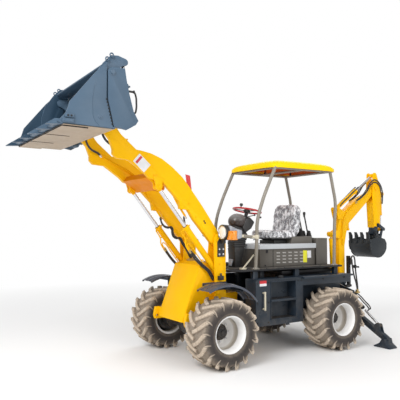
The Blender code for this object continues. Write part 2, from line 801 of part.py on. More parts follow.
def platform():
    """Floor plate with its front edge curved round the steering pivot."""
    turn_y = math.degrees(math.asin(FLOOR_HALF / FLOOR_FRONT_R))
    outline = [(FLOOR_BACK, -FLOOR_HALF)] + arc((PIVOT_X, 0), FLOOR_FRONT_R, -turn_y, turn_y, 10)
    outline.append((FLOOR_BACK, FLOOR_HALF))
    well = [(0.05, -0.245), (0.76, -0.245), (0.76, 0.245), (0.05, 0.245)]
    fuse("platform", [slab(outline, (FLOOR_Z - FLOOR_T, FLOOR_Z), holes=[well])], BLACK)


platform()


def engine():
    bm_block = block((0.09, 0.60), (-0.215, 0.215), (RAIL_Z1 + FIT, 1.200))
    gearbox = block((-0.25, 0.15), (-0.15, 0.15), (RAIL_Z1 + FIT, 0.95))
    fuse("engine_block", [bm_block, gearbox], BLACK)


engine()


def hood():
    """Engine cover, open below, with louvres in its sides and a lid that overhangs it."""
    wall = 0.012
    pieces = [
        block((HOOD_X0, HOOD_X1), (-HOOD_HALF, HOOD_HALF), (FLOOR_Z + FIT, HOOD_Z + 0.01)),
        block((HOOD_X0 - 0.012, HOOD_X1 + 0.012), (-HOOD_HALF - 0.012, HOOD_HALF + 0.012), (HOOD_Z, HOOD_Z + LID_T)),
    ]
    cuts = [
        block(
            (HOOD_X0 + wall, HOOD_X1 - wall),
            (-HOOD_HALF + wall, HOOD_HALF - wall),
            (FLOOR_Z - 0.1, HOOD_Z + LID_T - wall),
        )
    ]
    slot_l, slot_h = 0.055, 0.012
    for side in (-1, 1):
        for column in range(5):
            for row in range(4):
                x = 0.173 + 0.105 * column
                z = FLOOR_Z + 0.049 + 0.043 * row
                cuts.append(
                    block((x, x + slot_l), (side * (HOOD_HALF - 0.03), side * (HOOD_HALF + 0.01)), (z, z + slot_h))
                )
    fuse("engine_hood", pieces, GREY, cuts=cuts)


hood()


def under_hub(gap):
    """A point on the steering wheel's axis, this far below its hub."""
    lean = math.radians(STEER_LEAN)
    down = HUB_DEPTH + gap
    return (STEER_X + down * math.sin(lean), 0, STEER_Z + 0.022 - down * math.cos(lean))


def console():
    """Steering column cover: narrow foot, wide head leaning back to the wheel, and the wheel's shaft."""
    foot = [(1.060, FLOOR_Z + FIT), (1.160, FLOOR_Z + FIT), (1.130, 1.360), (0.985, 1.360)]
    neck = [(0.985, 1.340), (1.130, 1.340), (1.120, 1.480), (1.000, 1.480)]
    head = [(1.000, 1.460), (1.120, 1.460), (1.150, 1.560), (1.120, 1.690), (1.060, 1.755), (0.985, 1.730), (0.940, 1.580)]
    pieces = [
        plate(foot, (-0.070, 0.070)),
        plate(neck, (-0.095, 0.095)),
        plate(head, (-0.140, 0.140)),
        bar(under_hub(0.165), under_hub(FIT), 0.022),
    ]
    fuse("console", pieces, BLACK)


console()


def steering_wheel():
    bm = bmesh.new()
    steps, sides = 18, 5
    ring = []
    for i in range(steps):
        around = 2 * math.pi * i / steps
        row = []
        for j in range(sides):
            up = 2 * math.pi * j / sides
            reach = STEER_R - 0.013 + 0.013 * math.cos(up)
            row.append(bm.verts.new((reach * math.cos(around), reach * math.sin(around), 0.013 * math.sin(up))))
        ring.append(row)
    for i in range(steps):
        for j in range(sides):
            a, b = ring[i], ring[(i + 1) % steps]
            bm.faces.new((a[j], b[j], b[(j + 1) % sides], a[(j + 1) % sides]))
    pieces = [solid_from(bm)]
    pieces.append(bar((0, 0, -HUB_DEPTH), (0, 0, 0.012), 0.045))
    for angle in (90, 210, 330):
        reach = STEER_R - 0.012
        tip = (reach * math.cos(math.radians(angle)), reach * math.sin(math.radians(angle)), 0)
        pieces.append(bar((0, 0, -0.012), tip, 0.010, sides=6))
    pieces.append(bar((0.10, 0.15, 0), (0.10, 0.15, 0.055), 0.016, sides=8))
    made = fuse("steering_wheel", pieces, RED)
    lean = Matrix.Translation((STEER_X, 0, STEER_Z + 0.022)) @ Matrix.Rotation(math.radians(-STEER_LEAN), 4, "Y")
    made.data.transform(lean)


steering_wheel()


def seat():
    """Cushion and backrest on a low mount."""
    base_z = HOOD_Z + LID_T + FIT
    back = [(0.165, SEAT_Z + 0.02), (0.255, SEAT_Z + 0.02), (0.200, 1.880), (0.120, 1.860)]
    pieces = [
        block((0.250, 0.560), (-0.150, 0.150), (base_z, SEAT_Z + 0.01)),
        block((0.180, 0.680), (-0.240, 0.240), (SEAT_Z, SEAT_Z + 0.100)),
        plate(back, (-0.230, 0.230)),
    ]
    fuse("seat", pieces, BLACK)


seat()


def control_stand():
    """Lever stand behind the seat: box on the hood, rear cabinet, and two groups of levers in bellows."""
    top_z = HOOD_Z + LID_T + FIT
    pieces = [
        block((-0.055, 0.120), (-0.240, 0.240), (top_z, 1.450)),
        block((-0.200, -0.050), (-0.150, 0.150), (top_z + 0.02, 1.420)),
        block((-0.360, -0.140), (-0.240, 0.240), (FLOOR_Z + FIT, 1.425)),
    ]
    # x, y of a lever, z of its seat
    levers = ((-0.010, 0.130, 1.450), (-0.010, -0.130, 1.450), (-0.270, 0.130, 1.425), (-0.270, -0.130, 1.425))
    for x, y, z in levers:
        pieces.append(bar((x, y, z - 0.005), (x, y, z + 0.090), 0.042, radius_end=0.022))
        pieces.append(bar((x, y, z + 0.07), (x - 0.035, y, z + 0.300), 0.008, sides=6))
        pieces.append(bar((x - 0.033, y, z + 0.285), (x - 0.042, y, z + 0.345), 0.018, sides=8))
    fuse("control_stand", pieces, BLACK)


control_stand()


def canopy():
    """Four leaning posts, their feet on the platform, the frame under the roof and the guard rail in front."""
    front = [(1.126, FLOOR_Z + 0.002), (1.103, 1.428), (1.091, 1.650), (1.007, 1.908), (0.899, 2.139), (0.790, ROOF_Z - 0.03)]
    rear = [(-0.268, FLOOR_Z + 0.002), (-0.292, 1.660), (-0.310, 1.910), (-0.264, 2.140), (-0.211, ROOF_Z - 0.03)]
    pieces = []
    for side in (-1, 1):
        for route in (front, rear):
            pieces.append(tube([(x, side * POST_Y, z) for x, z in route], POST_R))
            foot_x = route[0][0]
            pieces.append(
                block(
                    (foot_x - 0.045, foot_x + 0.045),
                    (side * (POST_Y - 0.045), side * (POST_Y + 0.028)),
                    (FLOOR_Z + FIT, FLOOR_Z + 0.012),
                )
            )
        pieces.append(
            tube([(0.800, side * POST_Y, ROOF_Z - 0.035), (-0.221, side * POST_Y, ROOF_Z - 0.035)], 0.018)
        )
    for x in (0.790, 0.290, -0.211):
        pieces.append(tube([(x, -POST_Y, ROOF_Z - 0.035), (x, POST_Y, ROOF_Z - 0.035)], 0.018))
    rail = [(1.100, -POST_Y, 1.455), (1.330, -0.400, 1.470), (1.385, 0, 1.475), (1.330, 0.400, 1.470), (1.100, POST_Y, 1.455)]
    pieces.append(tube(rail, 0.016))
    fuse("canopy_frame", pieces, POST_GREY)


canopy()


def roof():
    """Shallow dome of sheet, its rim turned down over the frame."""
    bm = bmesh.new()
    columns = 8
    bmesh.ops.create_grid(bm, x_segments=columns, y_segments=columns, size=1)
    for vert in bm.verts:
        u, v = vert.co.x, vert.co.y
        vert.co.x = (ROOF_X0 + ROOF_X1) / 2 + u * (ROOF_X1 - ROOF_X0) / 2
        vert.co.y = v * ROOF_HALF
        vert.co.z = ROOF_Z + 0.100 * (1 - abs(u) ** 2.5) * (1 - abs(v) ** 2.5)
    edges = [edge for edge in bm.edges if edge.is_boundary]
    rim = bmesh.ops.extrude_edge_only(bm, edges=edges)
    lowered = [item for item in rim["geom"] if isinstance(item, bmesh.types.BMVert)]
    bmesh.ops.translate(bm, vec=(0, 0, -0.036), verts=lowered)
    bmesh.ops.recalc_face_normals(bm, faces=bm.faces)
    mesh = bpy.data.meshes.new("roof")
    bm.to_mesh(mesh)
    bm.free()
    shell = cutter_object("roof", mesh)
    thick = shell.modifiers.new("thickness", "SOLIDIFY")
    thick.thickness = 0.008
    thick.offset = -1
    thick.use_even_offset = True
    pads = []
    for x in (0.790, 0.290, -0.211):
        for side in (-1, 1):
            pads.append(
                block((x - 0.02, x + 0.02), (side * 0.36, side * 0.40), (ROOF_Z - 0.035 + 0.018 + FIT, ROOF_Z + 0.045))
            )
    fuse("canopy_roof", [shell, *pads], YELLOW)


roof()


# Front frame
def front_frame():
    """Twin-plate towers for the loader arms, the sloped nose between them and the neck to the steering pivot."""
    boss = arc(ARM_PIVOT, 0.082, 180, 0, 8)
    inner = [(TOWER_X0, 0.470), (TOWER_X0, 1.360)] + boss
    inner += [(TOWER_X1, 1.360), (1.735, 1.150), (1.845, 1.120), (2.050, 0.569), (2.075, 0.470)]
    outer = [(TOWER_X0, 0.520), (TOWER_X0, 1.360)] + boss + [(TOWER_X1, 1.360), (1.700, 0.900), (1.690, 0.520)]
    pieces = []
    for side in (-1, 1):
        y_in = (side * TOWER_INNER_Y, side * (TOWER_INNER_Y + TOWER_PLATE_T))
        y_out = (side * TOWER_OUTER_Y, side * (TOWER_OUTER_Y + TOWER_PLATE_T))
        pieces.append(plate(inner, (min(y_in), max(y_in))))
        pieces.append(plate(outer, (min(y_out), max(y_out))))
        inner_face = side * (TOWER_INNER_Y + 0.002)
        outer_face = side * (TOWER_OUTER_Y + TOWER_PLATE_T)
        pieces.append(pin(ARM_PIVOT, inner_face, outer_face - side * 0.001, ARM_PIN_R))
        pieces.append(pin(LIFT_BASE, inner_face, outer_face + side * 0.012, LIFT_CYL.pin_r))
        span = (side * (TOWER_INNER_Y + 0.004), side * (TOWER_OUTER_Y + 0.002))
        pieces.append(block((TOWER_X0 + 0.001, TOWER_X0 + 0.012), span, (1.10, 1.27)))
        pieces.append(block((TOWER_X0 + 0.002, 1.688), span, (0.522, 0.580)))
        foot = [(1.960, 0.430), (2.095, 0.430), (2.110, 0.470), (2.090, 0.577), (2.020, 0.577), (1.960, 0.500)]
        pieces.append(plate(foot, tuple(sorted((side * 0.350, side * 0.391))), holes=[circle((2.065, 0.470), 0.018, 8)]))
        seat_y = (side * (RAIL_Y - 0.050), side * (TOWER_INNER_Y + 0.006))
        pieces.append(block((WHEELBASE - 0.10, WHEELBASE + 0.10), seat_y, (FRONT_SEAT_Z, 0.492)))
    nose = [(1.600, 1.150), (1.735, 1.150), (1.845, 1.125), (2.052, 0.569), (2.085, 0.470), (2.060, 0.470)]
    nose += [(2.030, 0.560), (1.830, 1.105), (1.735, 1.130), (1.600, 1.130)]
    pieces.append(plate(nose, (-TOWER_INNER_Y - 0.010, TOWER_INNER_Y + 0.010)))
    arch = [(-0.39, 0.575), (-0.39, 0.472)] + [(-0.20, 0.472), (-0.14, 0.545), (0.14, 0.545), (0.20, 0.472)]
    arch += [(0.39, 0.472), (0.39, 0.575)]
    pieces.append(cross_plate(arch, (2.025, 2.049)))
    span = (-TOWER_INNER_Y - 0.005, TOWER_INNER_Y + 0.005)
    pieces.append(block((TOWER_X0 + 0.001, TOWER_X0 + 0.020), span, (0.475, FLOOR_Z - FLOOR_T - 0.012)))
    pieces.append(block((TOWER_X0 + 0.002, TOWER_X1 - 0.01), span, (0.900, 0.930)))
    neck = arc((PIVOT_X, 0), 0.10, 90, 270, 8) + [(1.420, -0.10), (1.530, -0.24), (1.560, -0.24)]
    neck += [(1.560, 0.24), (1.530, 0.24), (1.420, 0.10)]
    pieces.append(slab(neck, (NECK_Z[0] - 0.025, NECK_Z[0])))
    pieces.append(slab(neck, (NECK_Z[1], NECK_Z[1] + 0.025)))
    for side in (-1, 1):
        pieces.append(block((1.140, 1.550), (side * 0.070, side * 0.090), (0.362, 0.743)))
    pieces.append(block((1.525, 1.555), (-0.236, 0.236), (0.363, 0.742)))
    ear = [(STEER_LUG[0] - 0.10, 0.080), (STEER_LUG[0] + 0.10, 0.080)] + arc(STEER_LUG, 0.030, 0, 180, 5)
    half = STEER_CYL.eye_half + SIDE_PLAY
    pieces.append(slab(ear, (STEER_CYL_Z - half - 0.011, STEER_CYL_Z - half)))
    pieces.append(slab(ear, (STEER_CYL_Z + half, STEER_CYL_Z + half + 0.011)))
    cuts = [bar((PIVOT_X, 0, 0.30), (PIVOT_X, 0, 0.80), bore_r(PIVOT_PIN_R), sides=sides_of(PIVOT_PIN_R))]
    fuse("front_frame", pieces, YELLOW, cuts=cuts, body=front_body)


front_frame()


def front_fender(name, side):
    """Fender over a front wheel on a bracket from the tower."""
    centre = (WHEELBASE, AXLE_Z)
    strip = arc(centre, 0.545, 62, 142, 10) + arc(centre, 0.538, 142, 62, 10)
    y = (side * 0.550, side * 0.800)
    pieces = [plate(strip, (min(y), max(y)))]
    arms_x = [WHEELBASE + 0.540 * math.cos(math.radians(angle)) for angle in (84, 118)]
    for x, angle in zip(arms_x, (84, 118)):
        z = AXLE_Z + 0.534 * math.sin(math.radians(angle))
        pieces.append(block((x - 0.02, x + 0.02), (side * (TOWER_OUTER_Y + TOWER_PLATE_T + FIT), side * 0.70), (z - 0.03, z)))
    mount = (side * (TOWER_OUTER_Y + TOWER_PLATE_T + FIT), side * (TOWER_OUTER_Y + TOWER_PLATE_T + 0.012))
    ends = (min(TOWER_X0, arms_x[1] - 0.020) - 0.005, max(TOWER_X1, arms_x[0] + 0.026))
    pieces.append(block(ends, mount, (0.833, 0.927)))
    fuse(name, pieces, NAVY, body=front_body)


front_fender("fender_left", 1)
front_fender("fender_right", -1)


def headlamp(name, side):
    """Headlamp and turn signal in one housing on a bolted plate."""
    y_plate = TOWER_OUTER_Y + TOWER_PLATE_T + FIT
    bracket = [(1.565, 1.225), (1.670, 1.225), (1.670, 1.400), (1.620, 1.460), (1.565, 1.400)]
    y = (side * y_plate, side * (y_plate + 0.010))
    pieces = [plate(bracket, (min(y), max(y)))]
    pieces.append(bar((1.560, side * 0.490, 1.515), (1.645, side * 0.490, 1.515), 0.092, sides=16))
    pieces.append(bar((1.500, side * 0.500, 1.500), (1.562, side * 0.490, 1.515), 0.045, sides=16, radius_end=0.090))
    pieces.append(block((1.535, 1.620), (side * 0.560, side * 0.690), (1.425, 1.545)))
    pieces.append(block((1.590, 1.630), (side * 0.402, side * 0.47), (1.380, 1.440)))
    fuse(name, pieces, BLACK, body=front_body)


headlamp("headlamp_left", 1)
headlamp("headlamp_right", -1)

def steering_cylinder():
    barrel_axis = axis_empty("steer_barrel_axis", (*STEER_BASE, STEER_CYL_Z))

    def at(length):
        return (*toward(STEER_BASE, STEER_LUG, length), STEER_CYL_Z)

    def across(point, offset):
        return (point[0], point[1], point[2] + offset)

    STEER_CYL.build("steer_*", at, across, barrel_axis, BLACK)


steering_cylinder()


# Loader
arm_body = joint_at("arm_axis", ARM_PIVOT, front_body)
lift_barrel_body = joint_at("lift_barrel_axis", LIFT_BASE, front_body)
tilt_barrel_body = joint_at("tilt_barrel_axis", TILT_BASE, arm_body)
bucket_body = joint_at("bucket_axis", BUCKET_PIVOT, arm_body)
clam_body = joint_at("clam_axis", CLAM_PIVOT, bucket_body)
clam_barrel_body = joint_at("clam_barrel_axis", CLAM_BASE, bucket_body)


def loader_arms():
    """Two cranked arms with bosses at their ends, the lift lugs, and the cross beam that carries the tilt cylinder."""
    top = [(1.640, 1.530), (1.855, 1.820), (2.026, 2.030), (2.138, 2.157), (2.275, 2.267), (2.409, 2.351)]
    top += [(2.539, 2.399), (2.667, 2.423), (2.729, 2.429), (2.914, 2.581), (3.010, 2.700)]
    tip = arc(BUCKET_PIVOT, 0.052, 120, -60, 6)
    bottom = [(3.043, 2.524), (3.001, 2.417), (3.000, 2.362), (2.959, 2.321), (2.814, 2.310), (2.614, 2.176)]
    bottom += [(2.560, 2.125), (2.500, 2.110), (2.420, 2.105), (2.350, 2.050), (2.178, 1.883), (2.158, 1.789)]
    bottom += [(2.053, 1.779), (1.983, 1.673), (1.738, 1.400)]
    heel = arc(ARM_PIVOT, 0.074, -40, -200, 8)
    outline = top + tip + bottom + heel
    lug = arc(LIFT_EYE, 0.042, 200, 380, 6) + [(2.520, 2.150), (2.400, 2.130)]
    pieces = []
    for side in (-1, 1):
        y = sorted((side * (ARM_Y - ARM_T / 2), side * (ARM_Y + ARM_T / 2)))
        pieces.append(plate(outline, tuple(y)))
        for near, far in ((-0.040, -0.0215), (0.0215, 0.040)):
            pieces.append(plate(lug, tuple(sorted((side * (ARM_Y + near), side * (ARM_Y + far))))))
        reach = ARM_T / 2 + 0.0145
        for point, radius in ((ARM_PIVOT, 0.060), (BUCKET_PIVOT, 0.046)):
            half = reach if point is ARM_PIVOT else ARM_T / 2 + 0.0075
            pieces.append(pin(point, side * (ARM_Y - half), side * (ARM_Y + half), radius))
    centre = (2.455, 2.090)
    pieces.append(
        block(
            (centre[0] - 0.10, centre[0] + 0.12),
            (-ARM_Y + ARM_T / 2 - 0.004, ARM_Y - ARM_T / 2 + 0.004),
            (centre[1] - 0.035, centre[1] + 0.04),
            turn=(-36, centre),
        )
    )
    ear = arc(TILT_BASE, 0.042, 120, 300, 6) + [(2.400, 2.020), (2.370, 2.085)]
    near = TILT_CYL.base_half + SIDE_PLAY
    for side in (-1, 1):
        pieces.append(plate(ear, tuple(sorted((side * near, side * (near + 0.018))))))
    pieces.append(pin(TILT_BASE, -near - 0.026, near + 0.026, TILT_CYL.pin_r))
    cuts = []
    for side in (-1, 1):
        cuts.append(pin_bore(ARM_PIVOT, side * ARM_Y, ARM_T, ARM_PIN_R))
        cuts.append(pin_bore(BUCKET_PIVOT, side * ARM_Y, ARM_T, BUCKET_PIN_R))
    fuse("loader_arms", pieces, YELLOW, cuts=cuts, body=arm_body)


loader_arms()

for side_name, side in (("left", 1), ("right", -1)):
    LIFT_CYL.stand_along("lift_*_" + side_name, side * ARM_Y, lift_barrel_body, YELLOW)
TILT_CYL.stand_along("tilt_*", 0.0, tilt_barrel_body, YELLOW)


def bucket_back():
    """The fixed rear half of the split bucket: moldboard, beam, ears for arms and cylinders, outer end plates."""
    front = [(3.118, 3.170), (3.148, 3.000), (3.170, 2.850), (3.178, 2.700), (3.165, 2.580)]
    moldboard = front + [(x - 0.014, z) for x, z in reversed(front)]
    end = [(3.195, 2.562), (3.258, 2.824)] + arc(CLAM_PIVOT, 0.048, -15, 90, 4)
    end += [(3.082, 3.159), (3.049, 2.970), (2.983, 2.736), (2.929, 2.645), (2.960, 2.600), (3.060, 2.540)]
    ear_out = arc(CLAM_PIVOT, 0.045, -100, 90, 6) + [(3.105, 3.160), (3.125, 3.000)]
    base_lug = arc(CLAM_BASE, 0.040, 90, 330, 6) + [(3.161, 2.600), (3.161, 2.760)]
    pieces = [plate(moldboard, (-MOLDBOARD_HALF, MOLDBOARD_HALF))]
    for side in (-1, 1):
        pieces.append(block((3.052, 3.146), (side * 0.040, side * (MOLDBOARD_HALF - 0.059)), (2.945, 3.030)))
        pieces.append(plate(end, tuple(sorted((side * (BUCKET_HALF - BUCKET_PLATE), side * BUCKET_HALF)))))
        pieces.append(plate(ear_out, tuple(sorted((side * (MOLDBOARD_HALF - 0.019), side * (MOLDBOARD_HALF - 0.001))))))
        pieces.append(plate(base_lug, tuple(sorted((side * (CLAM_Y - 0.050), side * (CLAM_Y - CLAM_CYL.base_half - SIDE_PLAY))))))
        web = [(2.985, 2.700), (3.030, 2.880), (3.060, 2.880), (3.060, 2.560), (3.010, 2.600)]
        pieces.append(plate(web, tuple(sorted((side * (MOLDBOARD_HALF + 0.004), side * (BUCKET_HALF - 0.003))))))
        pieces.append(block((3.003, 3.058), (side * (CLAM_Y - 0.040), side * (BUCKET_HALF - 0.015)), (2.571, 2.589)))
        pieces.append(block((3.002, 3.156), (side * (CLAM_Y - 0.041), side * (MOLDBOARD_HALF - 0.002)), (2.570, 2.590)))
        pieces.append(pin(CLAM_BASE, side * (CLAM_Y - 0.048), side * (BUCKET_HALF - 0.005), CLAM_CYL.pin_r))
        pieces.append(pin(CLAM_PIVOT, side * (MOLDBOARD_HALF - 0.017), side * (BUCKET_HALF + 0.002), CLAM_PIN_R))
        for near, far in ((ARM_Y - ARM_T / 2 - 0.030, ARM_Y - ARM_T / 2 - 0.008), (ARM_Y + ARM_T / 2 + 0.008, ARM_Y + ARM_T / 2 + 0.030)):
            ear = arc(BUCKET_PIVOT, 0.046, 110, 330, 6) + [(3.167, 2.640), (3.167, 2.840), (3.145, 2.980), (3.070, 2.980)]
            pieces.append(plate(ear, tuple(sorted((side * near, side * far)))))
        pieces.append(pin(BUCKET_PIVOT, side * (ARM_Y - 0.059), side * (ARM_Y + 0.059), BUCKET_PIN_R))
        tilt_ear = arc(TILT_EYE, 0.044, 100, 260, 6) + [(3.148, 2.830), (3.138, 3.010)]
        near = TILT_CYL.eye_half + SIDE_PLAY
        pieces.append(plate(tilt_ear, tuple(sorted((side * near, side * (near + 0.020))))))
    fuse("bucket_back", pieces, SLATE, body=bucket_body)


bucket_back()


def bucket_clam():
    """The opening front half of the split bucket: floor, teeth, cheeks and the arms over the top to its cylinders."""
    y_in = BUCKET_HALF - BUCKET_PLATE - 0.0056
    cheek = [(3.206, 2.552), (3.276, 2.824), (3.276, 3.190), (3.384, 3.080), (3.642, 2.755), (3.664, 2.680)]
    cheek += [(3.677, 2.646), (3.735, 2.575), (3.735, 2.540)]
    inner = [(3.185, 2.552), (3.190, 2.900), (3.165, 3.070)] + [(3.160, 3.130), (3.090, 3.190)]
    inner += arc(CLAM_EYE, 0.036, 240, 100, 5) + [(3.145, 3.284), (3.222, 3.275), (3.300, 3.190), (3.400, 3.040), (3.440, 2.900)]
    inner += [(3.440, 2.552)]
    floor = [(3.182, 2.556), (3.182, 2.538), (3.744, 2.546), (3.760, 2.552), (3.700, 2.572)]
    pieces = [plate(floor, (-BUCKET_HALF, BUCKET_HALF))]
    for side in (-1, 1):
        pieces.append(plate(cheek, tuple(sorted((side * (BUCKET_HALF - BUCKET_PLATE), side * BUCKET_HALF)))))
        pieces.append(plate(inner, tuple(sorted((side * (y_in - 0.019), side * y_in)))))
        pieces.append(block((3.300, 3.420), (side * (y_in - 0.005), side * (BUCKET_HALF - 0.005)), (2.556, 3.000)))
        pieces.append(pin(CLAM_EYE, side * (CLAM_Y + CLAM_CYL.eye_half + PIN_PLAY), side * (y_in - 0.005), 0.012))
    for i in range(TOOTH_COUNT):
        y = (BUCKET_HALF - 0.045) * (2 * i / (TOOTH_COUNT - 1) - 1)
        tooth = [(3.690, 2.538), (TOOTH_TIP_X, 2.524), (TOOTH_TIP_X, 2.532), (3.780, 2.580), (3.690, 2.584)]
        pieces.append(plate(tooth, (y - 0.030, y + 0.030)))
    cuts = [pin_bore(CLAM_PIVOT, side * (y_in - 0.01), 0.012, CLAM_PIN_R) for side in (-1, 1)]
    fuse("bucket_clam", pieces, SLATE, cuts=cuts, body=clam_body)


bucket_clam()

for side_name, side in (("left", 1), ("right", -1)):
    CLAM_CYL.stand_along("clam_*_" + side_name, side * CLAM_Y, clam_barrel_body, SLATE)


# Backhoe
swing_body = axis_empty("swing_axis", (KINGPIN_X, 0, 0.560))
boom_body = joint_at("boom_axis", BOOM_FOOT, swing_body)
boom_barrel_body = joint_at("boom_barrel_axis", BOOM_CYL_BASE, swing_body)
stick_barrel_body = joint_at("stick_barrel_axis", STICK_CYL_BASE, boom_body)
stick_body = joint_at("stick_axis", STICK_PIVOT, boom_body)
hoe_barrel_body = joint_at("hoe_barrel_axis", HOE_CYL_BASE, stick_body)
hoe_body = joint_at("hoe_bucket_axis", HOE_PIVOT, stick_body)
guide_body = joint_at("guide_axis", GUIDE_PIVOT, stick_body)
link_body = joint_at("hoe_link_axis", HOE_LINK_PIN, hoe_body)


def swing_post():
    """Casting that swings on the kingpin and holds the boom's foot and its cylinder between two cheeks."""
    near, far = BOOM_HALF + 0.005 + SIDE_PLAY, BOOM_HALF + 0.027
    cheek = [(-0.705, 0.750), (-0.690, 0.880), (-0.725, 0.915), (-0.790, 0.900), (-0.925, 0.800), (-0.930, 0.740)]
    cheek += [(-0.880, 0.690), (-0.800, 0.560), (-0.750, 0.560), (-0.750, 0.745)]
    pieces = [
        bar((KINGPIN_X, 0, 0.4256), (KINGPIN_X, 0, 0.6994), 0.055),
        block((-0.790, KINGPIN_X), (-0.050, 0.050), (0.440, 0.685)),
        block((-0.797, -0.755), (-far + 0.001, far - 0.001), (0.565, 0.660)),
    ]
    for side in (-1, 1):
        pieces.append(plate(cheek, tuple(sorted((side * near, side * far)))))
    pieces.append(pin(BOOM_FOOT, -far - 0.010, far + 0.010, BOOM_PIN_R))
    pieces.append(pin(BOOM_CYL_BASE, -far - 0.010, far + 0.010, BOOM_CYL.pin_r))
    cuts = [bar((KINGPIN_X, 0, 0.30), (KINGPIN_X, 0, 0.80), bore_r(KINGPIN_R), sides=sides_of(KINGPIN_R))]
    fuse("swing_post", pieces, NAVY, cuts=cuts, body=swing_body)


swing_post()


def boom():
    """Bent box boom: upright foot, elbow with the cylinders' lugs, and the fore end that carries the stick."""
    foot = arc(BOOM_FOOT, 0.058, 180, 360, 6)
    outline = foot + [(-0.822, 0.900), (-0.822, 1.300), (-0.800, 1.560), (-0.840, 1.700), (-0.900, 1.790)]
    outline += [(-1.213, 2.000), (-1.400, 2.085), (-1.500, 2.120), (-1.620, 2.250)]
    outline += arc(STICK_PIVOT, 0.050, 60, 240, 6)
    outline += [(-1.482, 1.986), (-1.051, 1.644), (-0.990, 1.500), (-0.945, 1.300), (-0.945, 0.900)]
    pieces = [plate(outline, (-BOOM_HALF + 0.010, BOOM_HALF - 0.010))]
    pieces.append(pin(BOOM_FOOT, -BOOM_HALF - 0.005, BOOM_HALF + 0.005, 0.050))
    pieces.append(pin(STICK_PIVOT, -STICK_CHEEK_IN + SIDE_PLAY, STICK_CHEEK_IN - SIDE_PLAY, 0.040))
    for side in (-1, 1):
        cyl_lug = arc(BOOM_CYL_EYE, 0.036, -60, 120, 6) + [(-0.840, 1.560), (-0.840, 1.400)]
        near = BOOM_CYL.eye_half + SIDE_PLAY
        pieces.append(plate(cyl_lug, tuple(sorted((side * near, side * BOOM_HALF)))))
        stick_lug = arc(STICK_CYL_BASE, 0.036, -20, 130, 6) + [(-0.960, 1.810), (-0.900, 1.700), (-0.810, 1.700)]
        near = STICK_CYL.base_half + SIDE_PLAY
        pieces.append(plate(stick_lug, tuple(sorted((side * near, side * BOOM_HALF)))))
    pieces.append(pin(STICK_CYL_BASE, -0.060, 0.060, STICK_CYL.pin_r))
    pieces.append(bar((-1.060, -0.030, 1.552), (-1.060, 0.030, 1.552), 0.022))
    pieces.append(block((-1.080, -1.000), (-0.020, 0.020), (1.550, 1.680)))
    cuts = [pin_bore(BOOM_FOOT, 0, 0.06, BOOM_PIN_R), pin_bore(STICK_PIVOT, 0, 0.06, STICK_PIN_R)]
    fuse("boom", pieces, YELLOW, cuts=cuts, body=boom_body)


boom()


def stick():
    """Box stick with two cheeks round the boom's end, lugs for its cylinder and the narrow nose for the bucket."""
    cheek = arc(STICK_CYL_EYE, 0.046, 20, 160, 5) + [(-1.765, 2.250), (-1.800, 2.127), (-1.755, 1.578), (-1.620, 1.578)]
    cheek += [(-1.590, 2.100), (-1.600, 2.270)]
    pieces = []
    for side in (-1, 1):
        pieces.append(plate(cheek, tuple(sorted((side * STICK_CHEEK_IN, side * (STICK_HALF + 0.006))))))
    body = [(-1.791, 2.060), (-1.756, 1.577), (-1.619, 1.577), (-1.600, 1.980), (-1.660, 2.060)]
    pieces.append(plate(body, (-STICK_HALF, STICK_HALF)))
    nose = arc(HOE_PIVOT, 0.040, 180, 360, 6) + [(-1.622, 1.600), (-1.740, 1.600)]
    pieces.append(plate(nose, (-HOE_EAR_IN + SIDE_PLAY, HOE_EAR_IN - SIDE_PLAY)))
    pieces.append(pin(STICK_PIVOT, -0.072, 0.072, STICK_PIN_R))
    lug = arc(HOE_CYL_BASE, HOE_LUG_R, 60, 240, 6) + [(-1.760, 2.020), (-1.760, 2.160)]
    near = HOE_CYL.base_half + SIDE_PLAY
    for side in (-1, 1):
        pieces.append(plate(lug, tuple(sorted((side * near, side * 0.0515)))))
    pieces.append(pin(HOE_CYL_BASE, -0.056, 0.056, HOE_CYL.pin_r))
    cuts = [pin_bore(HOE_PIVOT, 0, 0.06, HOE_PIN_R), pin_bore(GUIDE_PIVOT, 0, 0.07, LINK_PIN_R)]
    fuse("stick", pieces, YELLOW, cuts=cuts, body=stick_body)


stick()

BOOM_CYL.stand_along("boom_*", 0.0, boom_barrel_body, YELLOW)
STICK_CYL.stand_along("stick_*", 0.0, stick_barrel_body, YELLOW)
HOE_CYL.stand_along("hoe_*", 0.0, hoe_barrel_body, YELLOW)


